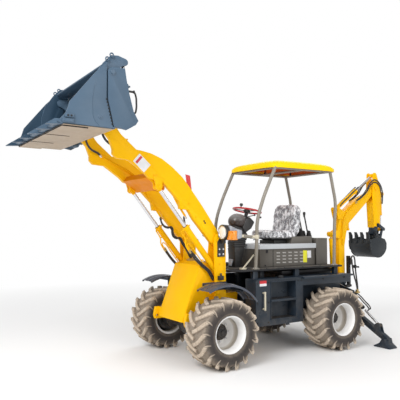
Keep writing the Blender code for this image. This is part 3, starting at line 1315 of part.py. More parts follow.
def hoe_bucket():
    """Digging bucket, open on top at rest: curved shell, side plates, teeth and ears for pin and link."""
    outer = [(-1.327, 1.384), (-1.335, 1.290), (-1.375, 1.190), (-1.450, 1.125), (-1.560, 1.108), (-1.660, 1.150)]
    outer += [(-1.735, 1.240), (-1.742, 1.330), (-1.700, 1.395)]
    inner = [(-1.690, 1.380), (-1.726, 1.326), (-1.720, 1.248), (-1.652, 1.166), (-1.558, 1.124), (-1.456, 1.140)]
    inner += [(-1.388, 1.200), (-1.350, 1.294), (-1.345, 1.384)]
    side_plate = outer + [(-1.560, 1.430)]
    pieces = [plate(outer + inner, (-HOE_HALF + 0.001, HOE_HALF - 0.001))]
    for side in (-1, 1):
        pieces.append(plate(side_plate, tuple(sorted((side * (HOE_HALF - 0.012), side * HOE_HALF)))))
        ear = arc(HOE_PIVOT, 0.038, 30, 180, 5) + arc(HOE_LINK_PIN, 0.032, 120, 250, 4) + [(-1.700, 1.330), (-1.640, 1.360)]
        pieces.append(plate(ear, tuple(sorted((side * HOE_EAR_IN, side * (HOE_EAR_IN + 0.016))))))
    pieces.append(block((-1.735, -1.600), (-0.075, 0.075), (1.335, 1.350), turn=(28, (-1.70, 1.34))))
    pieces.append(pin(HOE_PIVOT, -HOE_EAR_IN - 0.021, HOE_EAR_IN + 0.021, HOE_PIN_R))
    pieces.append(pin(HOE_LINK_PIN, -HOE_EAR_IN - 0.014, HOE_EAR_IN + 0.014, LINK_PIN_R))
    for i in range(4):
        y = (HOE_HALF - 0.030) * (2 * i / 3 - 1)
        tooth = [(-1.348, 1.340), (-1.326, 1.330), (-1.318, 1.400), (-1.345, 1.517), (-1.352, 1.515), (-1.350, 1.400)]
        pieces.append(plate(tooth, (y - 0.020, y + 0.020)))
    fuse("hoe_bucket", pieces, NAVY, body=hoe_body)


hoe_bucket()


def flat_link(first, second, radius):
    """Outline of a link with round ends about two pins."""
    lean = math.degrees(math.atan2(second[1] - first[1], second[0] - first[0]))
    return arc(first, radius, lean + 90, lean + 270, 6) + arc(second, radius, lean - 90, lean + 90, 6)


def hoe_links():
    """Guide link on its own shaft through the stick, and the link from the bucket's ears to the rod."""
    outline = flat_link(GUIDE_PIVOT, HOE_CYL_EYE, 0.026)
    pieces = []
    for side in (-1, 1):
        pieces.append(plate(outline, tuple(sorted((side * GUIDE_IN, side * GUIDE_OUT)))))
        pieces.append(pin(HOE_CYL_EYE, side * (HOE_LINK_OUT + 0.001), side * (GUIDE_OUT - 0.001), 0.014))
    pieces.append(pin(GUIDE_PIVOT, -GUIDE_OUT - 0.008, GUIDE_OUT + 0.008, LINK_PIN_R))
    fuse("hoe_guide_link", pieces, NAVY, body=guide_body)
    outline = flat_link(HOE_LINK_PIN, HOE_CYL_EYE, 0.022)
    near = HOE_CYL.eye_half + SIDE_PLAY
    pieces = [plate(outline, tuple(sorted((side * near, side * HOE_LINK_OUT)))) for side in (-1, 1)]
    middle = toward(HOE_LINK_PIN, HOE_CYL_EYE, math.dist(HOE_LINK_PIN, HOE_CYL_EYE) / 2)
    pieces.append(pin(middle, -HOE_LINK_OUT + 0.002, HOE_LINK_OUT - 0.002, 0.014))
    fuse("hoe_bucket_link", pieces, NAVY, cuts=[pin_bore(HOE_LINK_PIN, 0, 0.05, LINK_PIN_R)], body=link_body)


hoe_links()


def stabilizer(side_name, side):
    """Leg with its foot, swung down by a cylinder above it."""
    leg_axis = axis_empty("stab_axis_" + side_name, (STAB_X, side * STAB_PIVOT[0], STAB_PIVOT[1]))
    barrel_axis = axis_empty("stab_barrel_axis_" + side_name, (STAB_X, side * STAB_CYL_BASE[0], STAB_CYL_BASE[1]))
    flip = [(side * y, z) for y, z in flat_link(STAB_PIVOT, STAB_FOOT, 0.036)]
    half = STAB_HALF - 0.003
    near = STAB_CYL.eye_half + SIDE_PLAY
    pieces = [cross_plate(flip, (STAB_X - half, STAB_X + half))]
    boss = STAB_CHEEK_IN - SIDE_PLAY
    middle = (side * STAB_PIVOT[0], STAB_PIVOT[1])
    pieces.append(bar((STAB_X - boss, *middle), (STAB_X + boss, *middle), 0.033))
    lug = [(0.840, 0.200), (0.880, 0.290), *arc(STAB_CYL_EYE, 0.028, 130, -10, 5), (0.990, 0.150)]
    for span in ((-half + 0.001, -near), (near, half - 0.001)):
        pieces.append(cross_plate([(side * y, z) for y, z in lug], (STAB_X + span[0], STAB_X + span[1])))
    pad = [(0.890, 0.0), (1.140, 0.0), (1.140, 0.014), (1.075, 0.060), (1.060, 0.120), (1.020, 0.120), (0.980, 0.060)]
    pad.append((0.890, 0.014))
    pieces.append(cross_plate([(side * y, z) for y, z in pad], (STAB_X - 0.075, STAB_X + 0.075)))
    cuts = [stab_pin(STAB_PIVOT, side, bore_r(STAB_PIN_R), sides=sides_of(STAB_PIN_R))]
    fuse("stabilizer_leg_" + side_name, pieces, NAVY, cuts=cuts, body=leg_axis)

    def at(length):
        y, z = toward(STAB_CYL_BASE, STAB_CYL_EYE, length)
        return (STAB_X, side * y, z)

    def across(point, offset):
        return (point[0] + offset, point[1], point[2])

    STAB_CYL.build("stabilizer_*_" + side_name, at, across, barrel_axis, NAVY)


stabilizer("left", 1)
stabilizer("right", -1)
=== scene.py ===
"""Looks of a small backhoe loader: bucket raised, digging arm folded, a stabilizer foot down behind each rear wheel.

Distances are in metres. Drawing measures count forwards from the rear axle,
and at() turns them into the model's own place."""

import json
import math

import bpy
from mathutils import Matrix, Vector


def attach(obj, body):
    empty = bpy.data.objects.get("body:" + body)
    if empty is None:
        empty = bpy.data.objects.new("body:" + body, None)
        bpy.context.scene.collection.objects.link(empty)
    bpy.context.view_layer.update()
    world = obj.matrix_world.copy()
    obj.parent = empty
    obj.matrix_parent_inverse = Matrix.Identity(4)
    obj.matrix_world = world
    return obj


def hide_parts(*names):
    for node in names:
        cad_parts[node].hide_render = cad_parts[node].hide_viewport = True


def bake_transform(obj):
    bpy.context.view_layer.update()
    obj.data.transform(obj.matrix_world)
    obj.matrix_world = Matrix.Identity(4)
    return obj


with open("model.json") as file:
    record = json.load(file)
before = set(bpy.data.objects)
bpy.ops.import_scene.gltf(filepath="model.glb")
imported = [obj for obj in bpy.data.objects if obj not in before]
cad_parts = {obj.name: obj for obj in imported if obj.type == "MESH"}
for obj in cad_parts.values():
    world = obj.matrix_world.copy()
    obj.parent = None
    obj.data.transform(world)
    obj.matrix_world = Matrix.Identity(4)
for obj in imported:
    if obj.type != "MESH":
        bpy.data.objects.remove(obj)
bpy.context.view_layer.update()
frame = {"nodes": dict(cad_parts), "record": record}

# measured on the frame: where its middle lies ahead of the rear axle, the wheels, the posts and the bucket's cheeks
MID_X = 0.9815
AXLE_X = {"rear": 0.0, "front": 1.804}
WHEEL_Y = 0.674
WHEEL_R = 0.3935
POST_Y = 0.450
CHEEK_Y = 0.815
RAIL_Z = 2.350
SIDES = ((1, "left"), (-1, "right"))
# pins that a cylinder and its pin heads share, in side view
LIFT_EYE, CLAM_PIVOT = (2.447, 2.036), (3.215, 3.099)
BOOM_BASE, BOOM_EYE = (-0.725, 0.880), (-0.704, 1.479)
STICK_BASE, STICK_EYE, HOE_BASE = (-0.800, 1.850), (-1.655, 2.410), (-1.850, 2.120)


def at(x, y, z):
    return Vector((x - MID_X, y, z))


def in_plane(spot, y=0.0):
    """A point of the side view, at a distance from the middle plane."""
    return at(spot[0], y, spot[1])


def side_view(y, *spots):
    return [in_plane(spot, y) for spot in spots]


def sided(side, *spots):
    """Points given for the left side, taken to either side."""
    return [at(x, side * y, z) for x, y, z in spots]


def link(tree, source, target):
    tree.links.new(source, target)


def node(tree, kind, **values):
    made = tree.nodes.new(kind)
    for key, value in values.items():
        if key in made.inputs:
            made.inputs[key].default_value = value
        else:
            setattr(made, key.lower().replace(" ", "_"), value)
    return made


def place_socket(tree, stretch=(1, 1, 1)):
    """Where a point of the piece is, stretched for grain and brush marks."""
    spot = node(tree, "ShaderNodeTexCoord")
    move = node(tree, "ShaderNodeMapping")
    move.inputs["Scale"].default_value = stretch
    link(tree, spot.outputs["Object"], move.inputs["Vector"])
    return move.outputs["Vector"]


def cloud(tree, size, detail=3.0, rough=0.55, stretch=(1, 1, 1)):
    made = node(tree, "ShaderNodeTexNoise", Scale=1 / size, Detail=detail, Roughness=rough)
    link(tree, place_socket(tree, stretch), made.inputs["Vector"])
    return made.outputs["Fac"]


def span(tree, source, low, high, out_low=0.0, out_high=1.0):
    made = node(tree, "ShaderNodeMapRange")
    for key, value in (("From Min", low), ("From Max", high), ("To Min", out_low), ("To Max", out_high)):
        made.inputs[key].default_value = value
    link(tree, source, made.inputs["Value"])
    return made.outputs["Result"]


def times(tree, first, second):
    made = node(tree, "ShaderNodeMath")
    made.operation = "MULTIPLY"
    link(tree, first, made.inputs[0])
    link(tree, second, made.inputs[1])
    return made.outputs[0]


def blend_colour(tree, amount, first, second):
    """A colour between two: either may be a socket or a plain colour."""
    made = node(tree, "ShaderNodeMix")
    made.data_type = "RGBA"
    link(tree, amount, made.inputs[0])
    for place, value in ((6, first), (7, second)):
        if isinstance(value, (tuple, list)):
            made.inputs[place].default_value = (*value, 1)
        else:
            link(tree, value, made.inputs[place])
    return made.outputs[2]


def height(tree, low, high):
    """1 near the ground, 0 above the high mark."""
    parts = node(tree, "ShaderNodeSeparateXYZ")
    link(tree, place_socket(tree), parts.inputs[0])
    return span(tree, parts.outputs[2], low, high, 1.0, 0.0)


def relief(tree, shader, source, depth, strength=1.0):
    made = node(tree, "ShaderNodeBump", Distance=depth, Strength=strength)
    link(tree, source, made.inputs["Height"])
    link(tree, made.outputs[0], shader.inputs["Normal"])
    return made


def finish_of(name, metallic=0.0, coat=0.0, coat_rough=0.1, sheen=0.0):
    made = bpy.data.materials.new(name)
    made.use_nodes = True
    tree = made.node_tree
    shader = tree.nodes["Principled BSDF"]
    shader.inputs["Metallic"].default_value = metallic
    shader.inputs["Coat Weight"].default_value = coat
    shader.inputs["Coat Roughness"].default_value = coat_rough
    shader.inputs["Sheen Weight"].default_value = sheen
    return made, tree, shader


DUST = (0.42, 0.33, 0.23)


def sprayed_paint(name, colour, dark, roughness=0.38, dust=0.25, chips=0.0, dust_top=0.9, coat=0.25, shine=0.5):
    """Enamel on welded plate: a little orange peel, streaks of a darker tone, dust low down, chips where knocked."""
    made, tree, shader = finish_of(name, coat=coat, coat_rough=0.22)
    shader.inputs["Specular IOR Level"].default_value = shine
    tone = span(tree, cloud(tree, 0.35, 4), 0.35, 0.75, 0.0, 0.55)
    paint = blend_colour(tree, tone, colour, dark)
    settled = times(
        tree, height(tree, 0.15, dust_top), span(tree, cloud(tree, 0.12, 6, 0.65), 0.42, 0.72, 0.0, dust * 2.2)
    )
    paint = blend_colour(tree, settled, paint, DUST)
    if chips:
        knocked = span(tree, cloud(tree, 0.035, 8, 0.7), 0.66, 0.70, 0.0, chips)
        paint = blend_colour(tree, knocked, paint, (0.10, 0.085, 0.075))
    link(tree, paint, shader.inputs["Base Color"])
    link(
        tree, span(tree, cloud(tree, 0.08, 5), 0.3, 0.7, roughness - 0.08, roughness + 0.12),
        shader.inputs["Roughness"]
    )
    relief(tree, shader, cloud(tree, 0.006, 2), 0.0006, 0.35)
    return made


LOADER_YELLOW = sprayed_paint(
    "loader_yellow", (0.96, 0.52, 0.001), (0.92, 0.43, 0.001), roughness=0.36, dust=0.02, coat=0.0, shine=0.10
)
# painted shade: a deeper orange for the loader arms' inner faces and cross beam, where shade falls between the arms
ARM_PAINTED_SHADE = sprayed_paint(
    "arm_painted_shade_orange", (0.82, 0.27, 0.001), (0.70, 0.20, 0.001), roughness=0.42, dust=0.0, coat=0.0, shine=0.10
)
CHASSIS_NAVY = sprayed_paint(
    "chassis_navy", (0.017, 0.027, 0.040), (0.012, 0.019, 0.030), roughness=0.34, dust=0.07, chips=0.15, coat=0.1,
    shine=0.3
)
BUCKET_SLATE = sprayed_paint(
    "bucket_slate", (0.070, 0.118, 0.175), (0.050, 0.088, 0.135), roughness=0.40, dust=0.06, chips=0.4, dust_top=0.4,
    coat=0.1, shine=0.3
)
# painted shade: darker slate for the inner faces of the bucket's cheeks and moldboard
BUCKET_PAINTED_SHADE = sprayed_paint(
    "bucket_inside_painted_shade", (0.030, 0.062, 0.100), (0.020, 0.044, 0.074), roughness=0.45, dust=0.05, chips=0.4,
    dust_top=0.4, coat=0.0, shine=0.2
)
POST_GREY = sprayed_paint("canopy_post_grey", (0.250, 0.225, 0.185), (0.180, 0.160, 0.130), dust=0.05)
HOOD_GREY = sprayed_paint(
    "hood_warm_grey", (0.128, 0.116, 0.100), (0.095, 0.087, 0.076), roughness=0.46, dust=0.08, coat=0.1, shine=0.3
)
LID_GREY = sprayed_paint("lid_pale_grey", (0.52, 0.54, 0.56), (0.43, 0.45, 0.47), roughness=0.36, dust=0.05)
CREAM = sprayed_paint(
    "wheel_cream", (0.72, 0.68, 0.60), (0.60, 0.55, 0.46), roughness=0.36, dust=0.30, chips=0.15, dust_top=0.75
)
RAIL_CREAM = sprayed_paint("guard_rail_cream", (0.62, 0.57, 0.44), (0.50, 0.45, 0.33), roughness=0.36, dust=0.05)
SHOP_BLACK = sprayed_paint(
    "shop_black", (0.014, 0.014, 0.016), (0.009, 0.009, 0.010), roughness=0.42, dust=0.12, chips=0.15, coat=0.1,
    shine=0.3
)
SAFETY_RED = sprayed_paint("safety_red", (0.60, 0.012, 0.012), (0.45, 0.008, 0.008), roughness=0.32, dust=0.02)


def chrome_finish():
    made, tree, shader = finish_of("polished_rod_chrome", metallic=1.0)
    streaks = cloud(tree, 0.01, 4, 0.6, (0.15, 1, 1))
    link(tree, blend_colour(tree, streaks, (0.78, 0.78, 0.80), (0.62, 0.62, 0.64)), shader.inputs["Base Color"])
    link(tree, span(tree, streaks, 0.3, 0.7, 0.10, 0.24), shader.inputs["Roughness"])
    relief(tree, shader, streaks, 0.0002, 0.15)
    return made


def rubber_finish(name, colour, dust_colour, amount):
    made, tree, shader = finish_of(name)
    patch = span(tree, cloud(tree, 0.05, 7, 0.7), 0.35, 0.68, 0.0, amount)
    link(tree, blend_colour(tree, patch, colour, dust_colour), shader.inputs["Base Color"])
    link(tree, span(tree, patch, 0.0, 1.0, 0.62, 0.92), shader.inputs["Roughness"])
    relief(tree, shader, cloud(tree, 0.004, 4), 0.0008, 0.4)
    return made


def tyre_finish():
    """Farm-tread rubber: black-brown walls with a tan mixed in, full on top of the lugs and about half elsewhere."""
    made, tree, shader = finish_of("dusty_tyre_rubber")
    tread = node(tree, "ShaderNodeAttribute")
    tread.attribute_name = "tread"
    patch = cloud(tree, 0.06, 7, 0.7)
    shader.inputs["Specular IOR Level"].default_value = 0.25
    wall = blend_colour(tree, span(tree, patch, 0.35, 0.7, 0.0, 0.75), (0.036, 0.032, 0.032), (0.085, 0.070, 0.060))
    lug_tan = blend_colour(
        tree, span(tree, cloud(tree, 0.03, 6, 0.7), 0.3, 0.7, 0.1, 1.0), (0.36, 0.285, 0.215), (0.66, 0.56, 0.45)
    )
    link(tree, blend_colour(tree, tread.outputs["Fac"], wall, lug_tan), shader.inputs["Base Color"])
    link(tree, span(tree, patch, 0.3, 0.7, 0.62, 0.9), shader.inputs["Roughness"])
    relief(tree, shader, cloud(tree, 0.006, 5, 0.6), 0.0015, 0.5)
    return made


def rim_finish():
    """Silver wheel enamel with stains on the lips; down the well a tan that is dust and painted shade; near black
    behind, painted shade.
    """
    made, tree, shader = finish_of("wheel_silver", coat=0.2, coat_rough=0.25)
    depth = node(tree, "ShaderNodeAttribute")
    depth.attribute_name = "depth"
    stain = span(tree, cloud(tree, 0.05, 6, 0.7), 0.3, 0.75, 0.0, 0.30)
    bright = blend_colour(tree, stain, (0.86, 0.855, 0.85), (0.58, 0.54, 0.48))
    # down the well: tan for dust and painted shade
    dust_and_painted_shade = blend_colour(tree, span(tree, depth.outputs["Fac"], 0.0, 1.0), bright, (0.40, 0.345, 0.275))
    # behind the rim: painted shade, near black
    link(
        tree, blend_colour(tree, span(tree, depth.outputs["Fac"], 1.0, 2.0), dust_and_painted_shade, (0.020, 0.020, 0.022)),
        shader.inputs["Base Color"]
    )
    link(tree, span(tree, cloud(tree, 0.04, 5), 0.3, 0.7, 0.30, 0.50), shader.inputs["Roughness"])
    relief(tree, shader, cloud(tree, 0.006, 3), 0.0006, 0.3)
    return made


def cowl_finish():
    """Moulded housing: grey with specks of dust, lighter on top and brown-black below, painted light and shade."""
    made, tree, shader = finish_of("column_cowl_plastic", coat=0.2, coat_rough=0.2)
    # painted light and shade: the grey on top fades to brown-black below
    tone = height(tree, 1.655, 1.745)
    speck = span(tree, cloud(tree, 0.05, 5), 0.3, 0.7, 0.0, 0.25)
    lit_top_grey = blend_colour(tree, speck, (0.25, 0.245, 0.24), (0.17, 0.16, 0.155))
    link(tree, blend_colour(tree, tone, lit_top_grey, (0.040, 0.026, 0.022)), shader.inputs["Base Color"])
    link(tree, span(tree, cloud(tree, 0.02, 3), 0.3, 0.7, 0.26, 0.42), shader.inputs["Roughness"])
    relief(tree, shader, cloud(tree, 0.004, 2), 0.0005, 0.4)
    return made


def plastic_finish(name, colour, roughness, grain=0.003, coat=0.0):
    made, tree, shader = finish_of(name, coat=coat, coat_rough=0.15)
    tone = span(tree, cloud(tree, 0.09, 4), 0.3, 0.7, 0.0, 0.5)
    link(tree, blend_colour(tree, tone, colour, tuple(c * 0.7 for c in colour)), shader.inputs["Base Color"])
    link(
        tree, span(tree, cloud(tree, 0.02, 3), 0.3, 0.7, roughness - 0.06, roughness + 0.1), shader.inputs["Roughness"]
    )
    relief(tree, shader, cloud(tree, grain, 2), 0.0005, 0.4)
    return made


CHROME = chrome_finish()
TYRE = tyre_finish()
HOSE = rubber_finish("black_hose_rubber", (0.018, 0.018, 0.019), (0.12, 0.10, 0.08), 0.35)
CAST_IRON = rubber_finish("engine_cast_iron", (0.045, 0.045, 0.047), (0.16, 0.12, 0.09), 0.5)
MAT_RUBBER = rubber_finish("floor_mat_rubber", (0.045, 0.044, 0.043), (0.20, 0.18, 0.155), 0.8)
BLACK_PLASTIC = plastic_finish("moulded_black", (0.022, 0.021, 0.021), 0.42, 0.0025)
COWL_GREY = cowl_finish()
RIM_SILVER = rim_finish()
RED_GRIP = plastic_finish("wheel_rim_red", (0.50, 0.012, 0.015), 0.25, 0.004, 0.4)
AMBER = plastic_finish("amber_lens", (0.90, 0.30, 0.02), 0.12, 0.010, 0.8)
LABEL_WHITE = plastic_finish("label_white", (0.80, 0.80, 0.82), 0.35, 0.004)
LABEL_RED = plastic_finish("label_red", (0.62, 0.02, 0.03), 0.35, 0.004)
LABEL_YELLOW = plastic_finish("label_yellow", (0.82, 0.78, 0.02), 0.35, 0.004)
BRASS = plastic_finish("yellowed_brass", (0.52, 0.36, 0.12), 0.30, 0.004)
LAMP_GLASS = plastic_finish("ribbed_lamp_glass", (0.86, 0.87, 0.86), 0.10, 0.012, 0.9)
BOOT_RUBBER = rubber_finish("lever_boot_rubber", (0.016, 0.015, 0.016), (0.06, 0.055, 0.05), 0.4)
HOOD_LOUVRE = sprayed_paint("louvre_light_grey", (0.34, 0.325, 0.30), (0.26, 0.25, 0.23), roughness=0.40, dust=0.05)
ROOF_YELLOW = sprayed_paint(
    "roof_yellow", (0.95, 0.66, 0.001), (0.92, 0.58, 0.001), roughness=0.34, dust=0.0, coat=0.0, shine=0.12
)
# painted shade: deep orange for the roof's downward faces, the same yellow paint in shade
ROOF_UNDERSIDE_PAINTED_SHADE = sprayed_paint(
    "roof_underside_painted_shade", (0.62, 0.10, 0.003), (0.50, 0.075, 0.003), roughness=0.5, dust=0.0, coat=0.0, shine=0.2
)
DIG_GREY = sprayed_paint(
    "dig_bucket_grey", (0.020, 0.025, 0.030), (0.014, 0.018, 0.022), roughness=0.42, dust=0.0, chips=0.4, dust_top=0.4,
    coat=0.1, shine=0.3
)
FENDER_SLATE = sprayed_paint(
    "fender_slate", (0.062, 0.072, 0.098), (0.040, 0.048, 0.068), roughness=0.30, dust=0.05, chips=0.2, dust_top=0.6,
    coat=0.4, shine=0.4
)
WORN_STEEL = sprayed_paint(
    "worn_floor_sand", (0.44, 0.35, 0.255), (0.33, 0.26, 0.19), roughness=0.55, dust=0.0, chips=0.35, dust_top=0.4,
    coat=0.0
)
LAMP_GREY = sprayed_paint("lamp_shell_grey", (0.36, 0.38, 0.42), (0.26, 0.28, 0.32), roughness=0.26, dust=0.0, coat=0.3)


def seat_cloth_finish():
    """Dark grey woven cloth: two crossing threads, a little sheen."""
    made, tree, shader = finish_of("seat_weave_dark", sheen=0.3)
    threads = []
    for bands in ("X", "Y"):
        wave = node(tree, "ShaderNodeTexWave", Scale=160.0, Distortion=0.4)
        wave.bands_direction = bands
        link(tree, place_socket(tree), wave.inputs["Vector"])
        threads.append(wave.outputs["Fac"])
    weave = times(tree, *threads)
    link(tree, blend_colour(tree, weave, (0.020, 0.020, 0.024), (0.060, 0.060, 0.070)), shader.inputs["Base Color"])
    shader.inputs["Roughness"].default_value = 0.85
    relief(tree, shader, weave, 0.0006, 0.5)
    return made


def film_finish():
    """Clear wrapping film, mostly see-through, with painted highlights along its creases: white and nearly opaque where
    it folds.
    """
    made, tree, shader = finish_of("clear_wrap_film")
    shader.inputs["Roughness"].default_value = 0.10
    shader.inputs["IOR"].default_value = 1.5
    crease_and_highlight = cloud(tree, 0.045, 7, 0.72, (1, 1, 0.6))
    # painted highlight: the creases turn white and less clear, standing in for light caught in the folds
    fold = span(tree, crease_and_highlight, 0.44, 0.57, 0.28, 0.92)
    link(
        tree, blend_colour(tree, span(tree, crease_and_highlight, 0.45, 0.62), (0.66, 0.66, 0.69), (0.97, 0.97, 0.99)),
        shader.inputs["Base Color"]
    )
    link(tree, fold, shader.inputs["Alpha"])
    relief(tree, shader, crease_and_highlight, 0.012, 0.8)
    return made


SEAT_CLOTH = seat_cloth_finish()
SEAT_FILM = film_finish()

SLOT_FINISH = {
    "yellow_paint": LOADER_YELLOW,
    "navy_paint": CHASSIS_NAVY,
    "slate_paint": BUCKET_SLATE,
    "cream_paint": CREAM,
    "hood_grey": HOOD_GREY,
    "post_grey": POST_GREY,
    "black_paint": SHOP_BLACK,
    "chrome_rod": CHROME,
    "engine_iron": CAST_IRON,
    "tyre_rubber": TYRE,
    "black_plastic": BLACK_PLASTIC,
    "red_plastic": RED_GRIP,
}


# the slot that a finish goes with, unless a piece names another
SLOT_OF = {part["node"]: part["material_slot"] for part in frame["record"]["subparts"]}
BODY_OF = {tag: body for body, tags in frame["record"]["behaviour"]["bodies"].items() for tag in tags}


def dress_frame():
    """Every carried-over node gets the finish of its slot."""
    for part in frame["record"]["subparts"]:
        made = frame["nodes"][part["node"]]
        made.data.materials.clear()
        made.data.materials.append(SLOT_FINISH[part["material_slot"]])


def clear():
    bpy.ops.object.select_all(action="DESELECT")


def only(piece):
    clear()
    piece.select_set(True)
    bpy.context.view_layer.objects.active = piece
    return piece


def settle(piece):
    only(piece)
    bpy.ops.object.transform_apply(location=True, rotation=True, scale=True)
    return piece


def choose(piece, test, kind="FACE"):
    """Opens the piece in edit mode with the faces, edges or corners that pass the test selected."""
    only(piece)
    bpy.ops.object.mode_set(mode="EDIT")
    bpy.ops.mesh.select_mode(type=kind)
    bpy.ops.mesh.select_all(action="DESELECT")
    bpy.ops.object.mode_set(mode="OBJECT")
    mesh = piece.data
    if kind == "FACE":
        for face in mesh.polygons:
            face.select = bool(test(face.center, face.normal))
    elif kind == "VERT":
        for corner in mesh.vertices:
            corner.select = bool(test(corner.co))
    else:
        for edge in mesh.edges:
            first, second = (mesh.vertices[i].co for i in edge.vertices)
            edge.select = bool(test((first + second) / 2, second - first))
    bpy.ops.object.mode_set(mode="EDIT")


def everything(*place):
    return True


def facing(x, y, z):
    """A test that lets through the faces that look one way."""
    way = Vector((x, y, z))
    return lambda middle, normal: normal.dot(way) > 0.9


def done():
    bpy.ops.object.mode_set(mode="OBJECT")


def face_out(piece):
    choose(piece, everything)
    bpy.ops.mesh.normals_make_consistent(inside=False)
    done()


def pull(x, y, z):
    bpy.ops.mesh.extrude_region_move(TRANSFORM_OT_translate={"value": (x, y, z)})


def stepped(piece, test, width, push=None):
    """The chosen faces drawn in by a width, and pushed in or out."""
    choose(piece, test)
    bpy.ops.mesh.inset(thickness=width)
    if push is not None:
        pull(*push)
    done()


def resized(piece, test, factors, about=None, kind="FACE"):
    """The chosen faces or corners resized, about their own middle or about a point."""
    choose(piece, test, kind)
    if about is None:
        bpy.ops.transform.resize(value=factors)
    else:
        bpy.ops.transform.resize(value=factors, center_override=about)
    done()


def block(name, low, high):
    clear()
    low, high = Vector(low), Vector(high)
    bpy.ops.mesh.primitive_cube_add(size=1, location=(low + high) / 2, scale=high - low)
    piece = bpy.context.object
    piece.name = name
    return settle(piece)


def side_block(name, side, low, high):
    """A block given for the left side, on either side."""
    near, far = sorted((side * low[1], side * high[1]))
    return block(name, at(low[0], near, low[2]), at(high[0], far, high[2]))


def rod(name, start, end, radius, sides=24, radius_end=None):
    clear()
    start, end = Vector(start), Vector(end)
    bpy.ops.mesh.primitive_cone_add(
        vertices=sides,
        radius1=radius,
        radius2=radius if radius_end is None else radius_end,
        depth=(end - start).length,
        location=(start + end) / 2,
        rotation=(end - start).to_track_quat("Z", "Y").to_euler(),
    )
    piece = bpy.context.object
    piece.name = name
    return settle(piece)


def ball(name, middle, radius, flat=(1, 1, 1), rings=12):
    clear()
    bpy.ops.mesh.primitive_uv_sphere_add(
        segments=rings * 2, ring_count=rings, radius=radius, location=middle, scale=flat
    )
    piece = bpy.context.object
    piece.name = name
    return settle(piece)


def wire(name, points):
    """A bent line, drawn by pulling one corner from point to point."""
    clear()
    bpy.ops.mesh.primitive_plane_add(size=0.01, location=points[0])
    piece = settle(bpy.context.object)
    piece.name = name
    choose(piece, everything, "VERT")
    bpy.ops.mesh.merge(type="CENTER")
    for first, second in zip(points, points[1:]):
        pull(*(Vector(second) - Vector(first)))
    done()
    return piece


def spun(name, points, middle, steps=64, axis=(0, 1, 0)):
    """A profile spun once round an axis, its seam and poles closed."""
    piece = wire(name, points)
    choose(piece, everything, "VERT")
    bpy.ops.mesh.spin(steps=steps, angle=2 * math.pi, center=middle, axis=axis)
    bpy.ops.mesh.select_all(action="SELECT")
    bpy.ops.mesh.remove_doubles(threshold=0.0003)
    bpy.ops.mesh.normals_make_consistent(inside=False)
    done()
    return piece


def pin_end(name, side, spot, y, rows, steps):
    """A boss or ring turned about a pin's line: each row is a radius and a height over the distance y."""
    x, z = spot
    return spun(name, [at(x + reach, side * (y + up), z) for reach, up in rows], at(x, 0, z), steps)


def cutout(name, points, depth):
    """A flat outline filled and pulled to a plate, centred on its own plane."""
    piece = wire(name, [Vector(p) - Vector(depth) / 2 for p in points])
    choose(piece, everything, "VERT")
    bpy.ops.mesh.edge_face_add()
    pull(*depth)
    bpy.ops.mesh.select_all(action="SELECT")
    bpy.ops.mesh.normals_make_consistent(inside=False)
    done()
    return piece


def modify(piece, kind, **values):
    only(piece)
    bpy.ops.object.modifier_add(type=kind)
    made = piece.modifiers[-1]
    for key, value in values.items():
        setattr(made, key, value)
    bpy.ops.object.modifier_apply(modifier=made.name)
    return piece


def soften(piece, width, steps=2, angle=35):
    modify(piece, "BEVEL", width=width, segments=steps, limit_method="ANGLE", angle_limit=math.radians(angle))
    return piece


def smooth(piece, angle=35):
    only(piece)
    bpy.ops.object.shade_smooth_by_angle(angle=math.radians(angle))
    return piece


def merged(name, parts):
    clear()
    for part in parts:
        part.select_set(True)
    bpy.context.view_layer.objects.active = parts[0]
    if len(parts) > 1:
        bpy.ops.object.join()
    piece = bpy.context.object
    piece.name = name
    return piece


def assembled(name, parts, angle, edge=0.0, steps=2):
    """Parts joined to one piece, its edges broken where a width is given, shaded round up to an angle."""
    piece = merged(name, parts)
    if edge:
        soften(piece, edge, steps)
    return smooth(piece, angle)


def again(piece, move=(0, 0, 0), turn=None, middle=(0, 0, 0)):
    """One more of the same piece, moved or turned about a point, with a mesh of its own."""
    only(piece)
    bpy.ops.object.duplicate(linked=False)
    twin = bpy.context.object
    twin.matrix_world = Matrix.Translation(Vector(move))
    if turn is not None:
        centre = Matrix.Translation(Vector(middle))
        twin.matrix_world = Matrix.Translation(Vector(move)) @ centre @ turn.to_matrix().to_4x4() @ centre.inverted()
    return settle(twin)


def mirrored(piece, name):
    """The same piece on the machine's other side."""
    only(piece)
    bpy.ops.object.duplicate(linked=False)
    twin = bpy.context.object
    twin.name = name
    twin.scale = (1, -1, 1)
    settle(twin)
    face_out(twin)
    return twin


def wear(piece, finish, body, replaces=(), bend=None):
    piece.data.materials.clear()
    piece.data.materials.append(finish)
    if bend:
        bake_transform(piece)
    else:
        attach(piece, body)
    if replaces:
        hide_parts(*replaces)
    return piece


def pipe(name, points, radius, steps=8, sides=12):
    """A smooth round curve through the points."""
    clear()
    bpy.ops.curve.primitive_bezier_curve_add(location=(0, 0, 0))
    piece = bpy.context.object
    piece.name = name
    run = piece.data.splines[0].bezier_points
    run.add(len(points) - len(run))
    for knot, point in zip(run, points):
        knot.co = point
        knot.handle_left_type = knot.handle_right_type = "AUTO"
    piece.data.bevel_depth = radius
    piece.data.bevel_resolution = sides // 2
    piece.data.resolution_u = steps
    piece.data.use_fill_caps = True
    only(piece)
    bpy.ops.object.convert(target="MESH")
    settle(piece)
    return smooth(piece, 60)


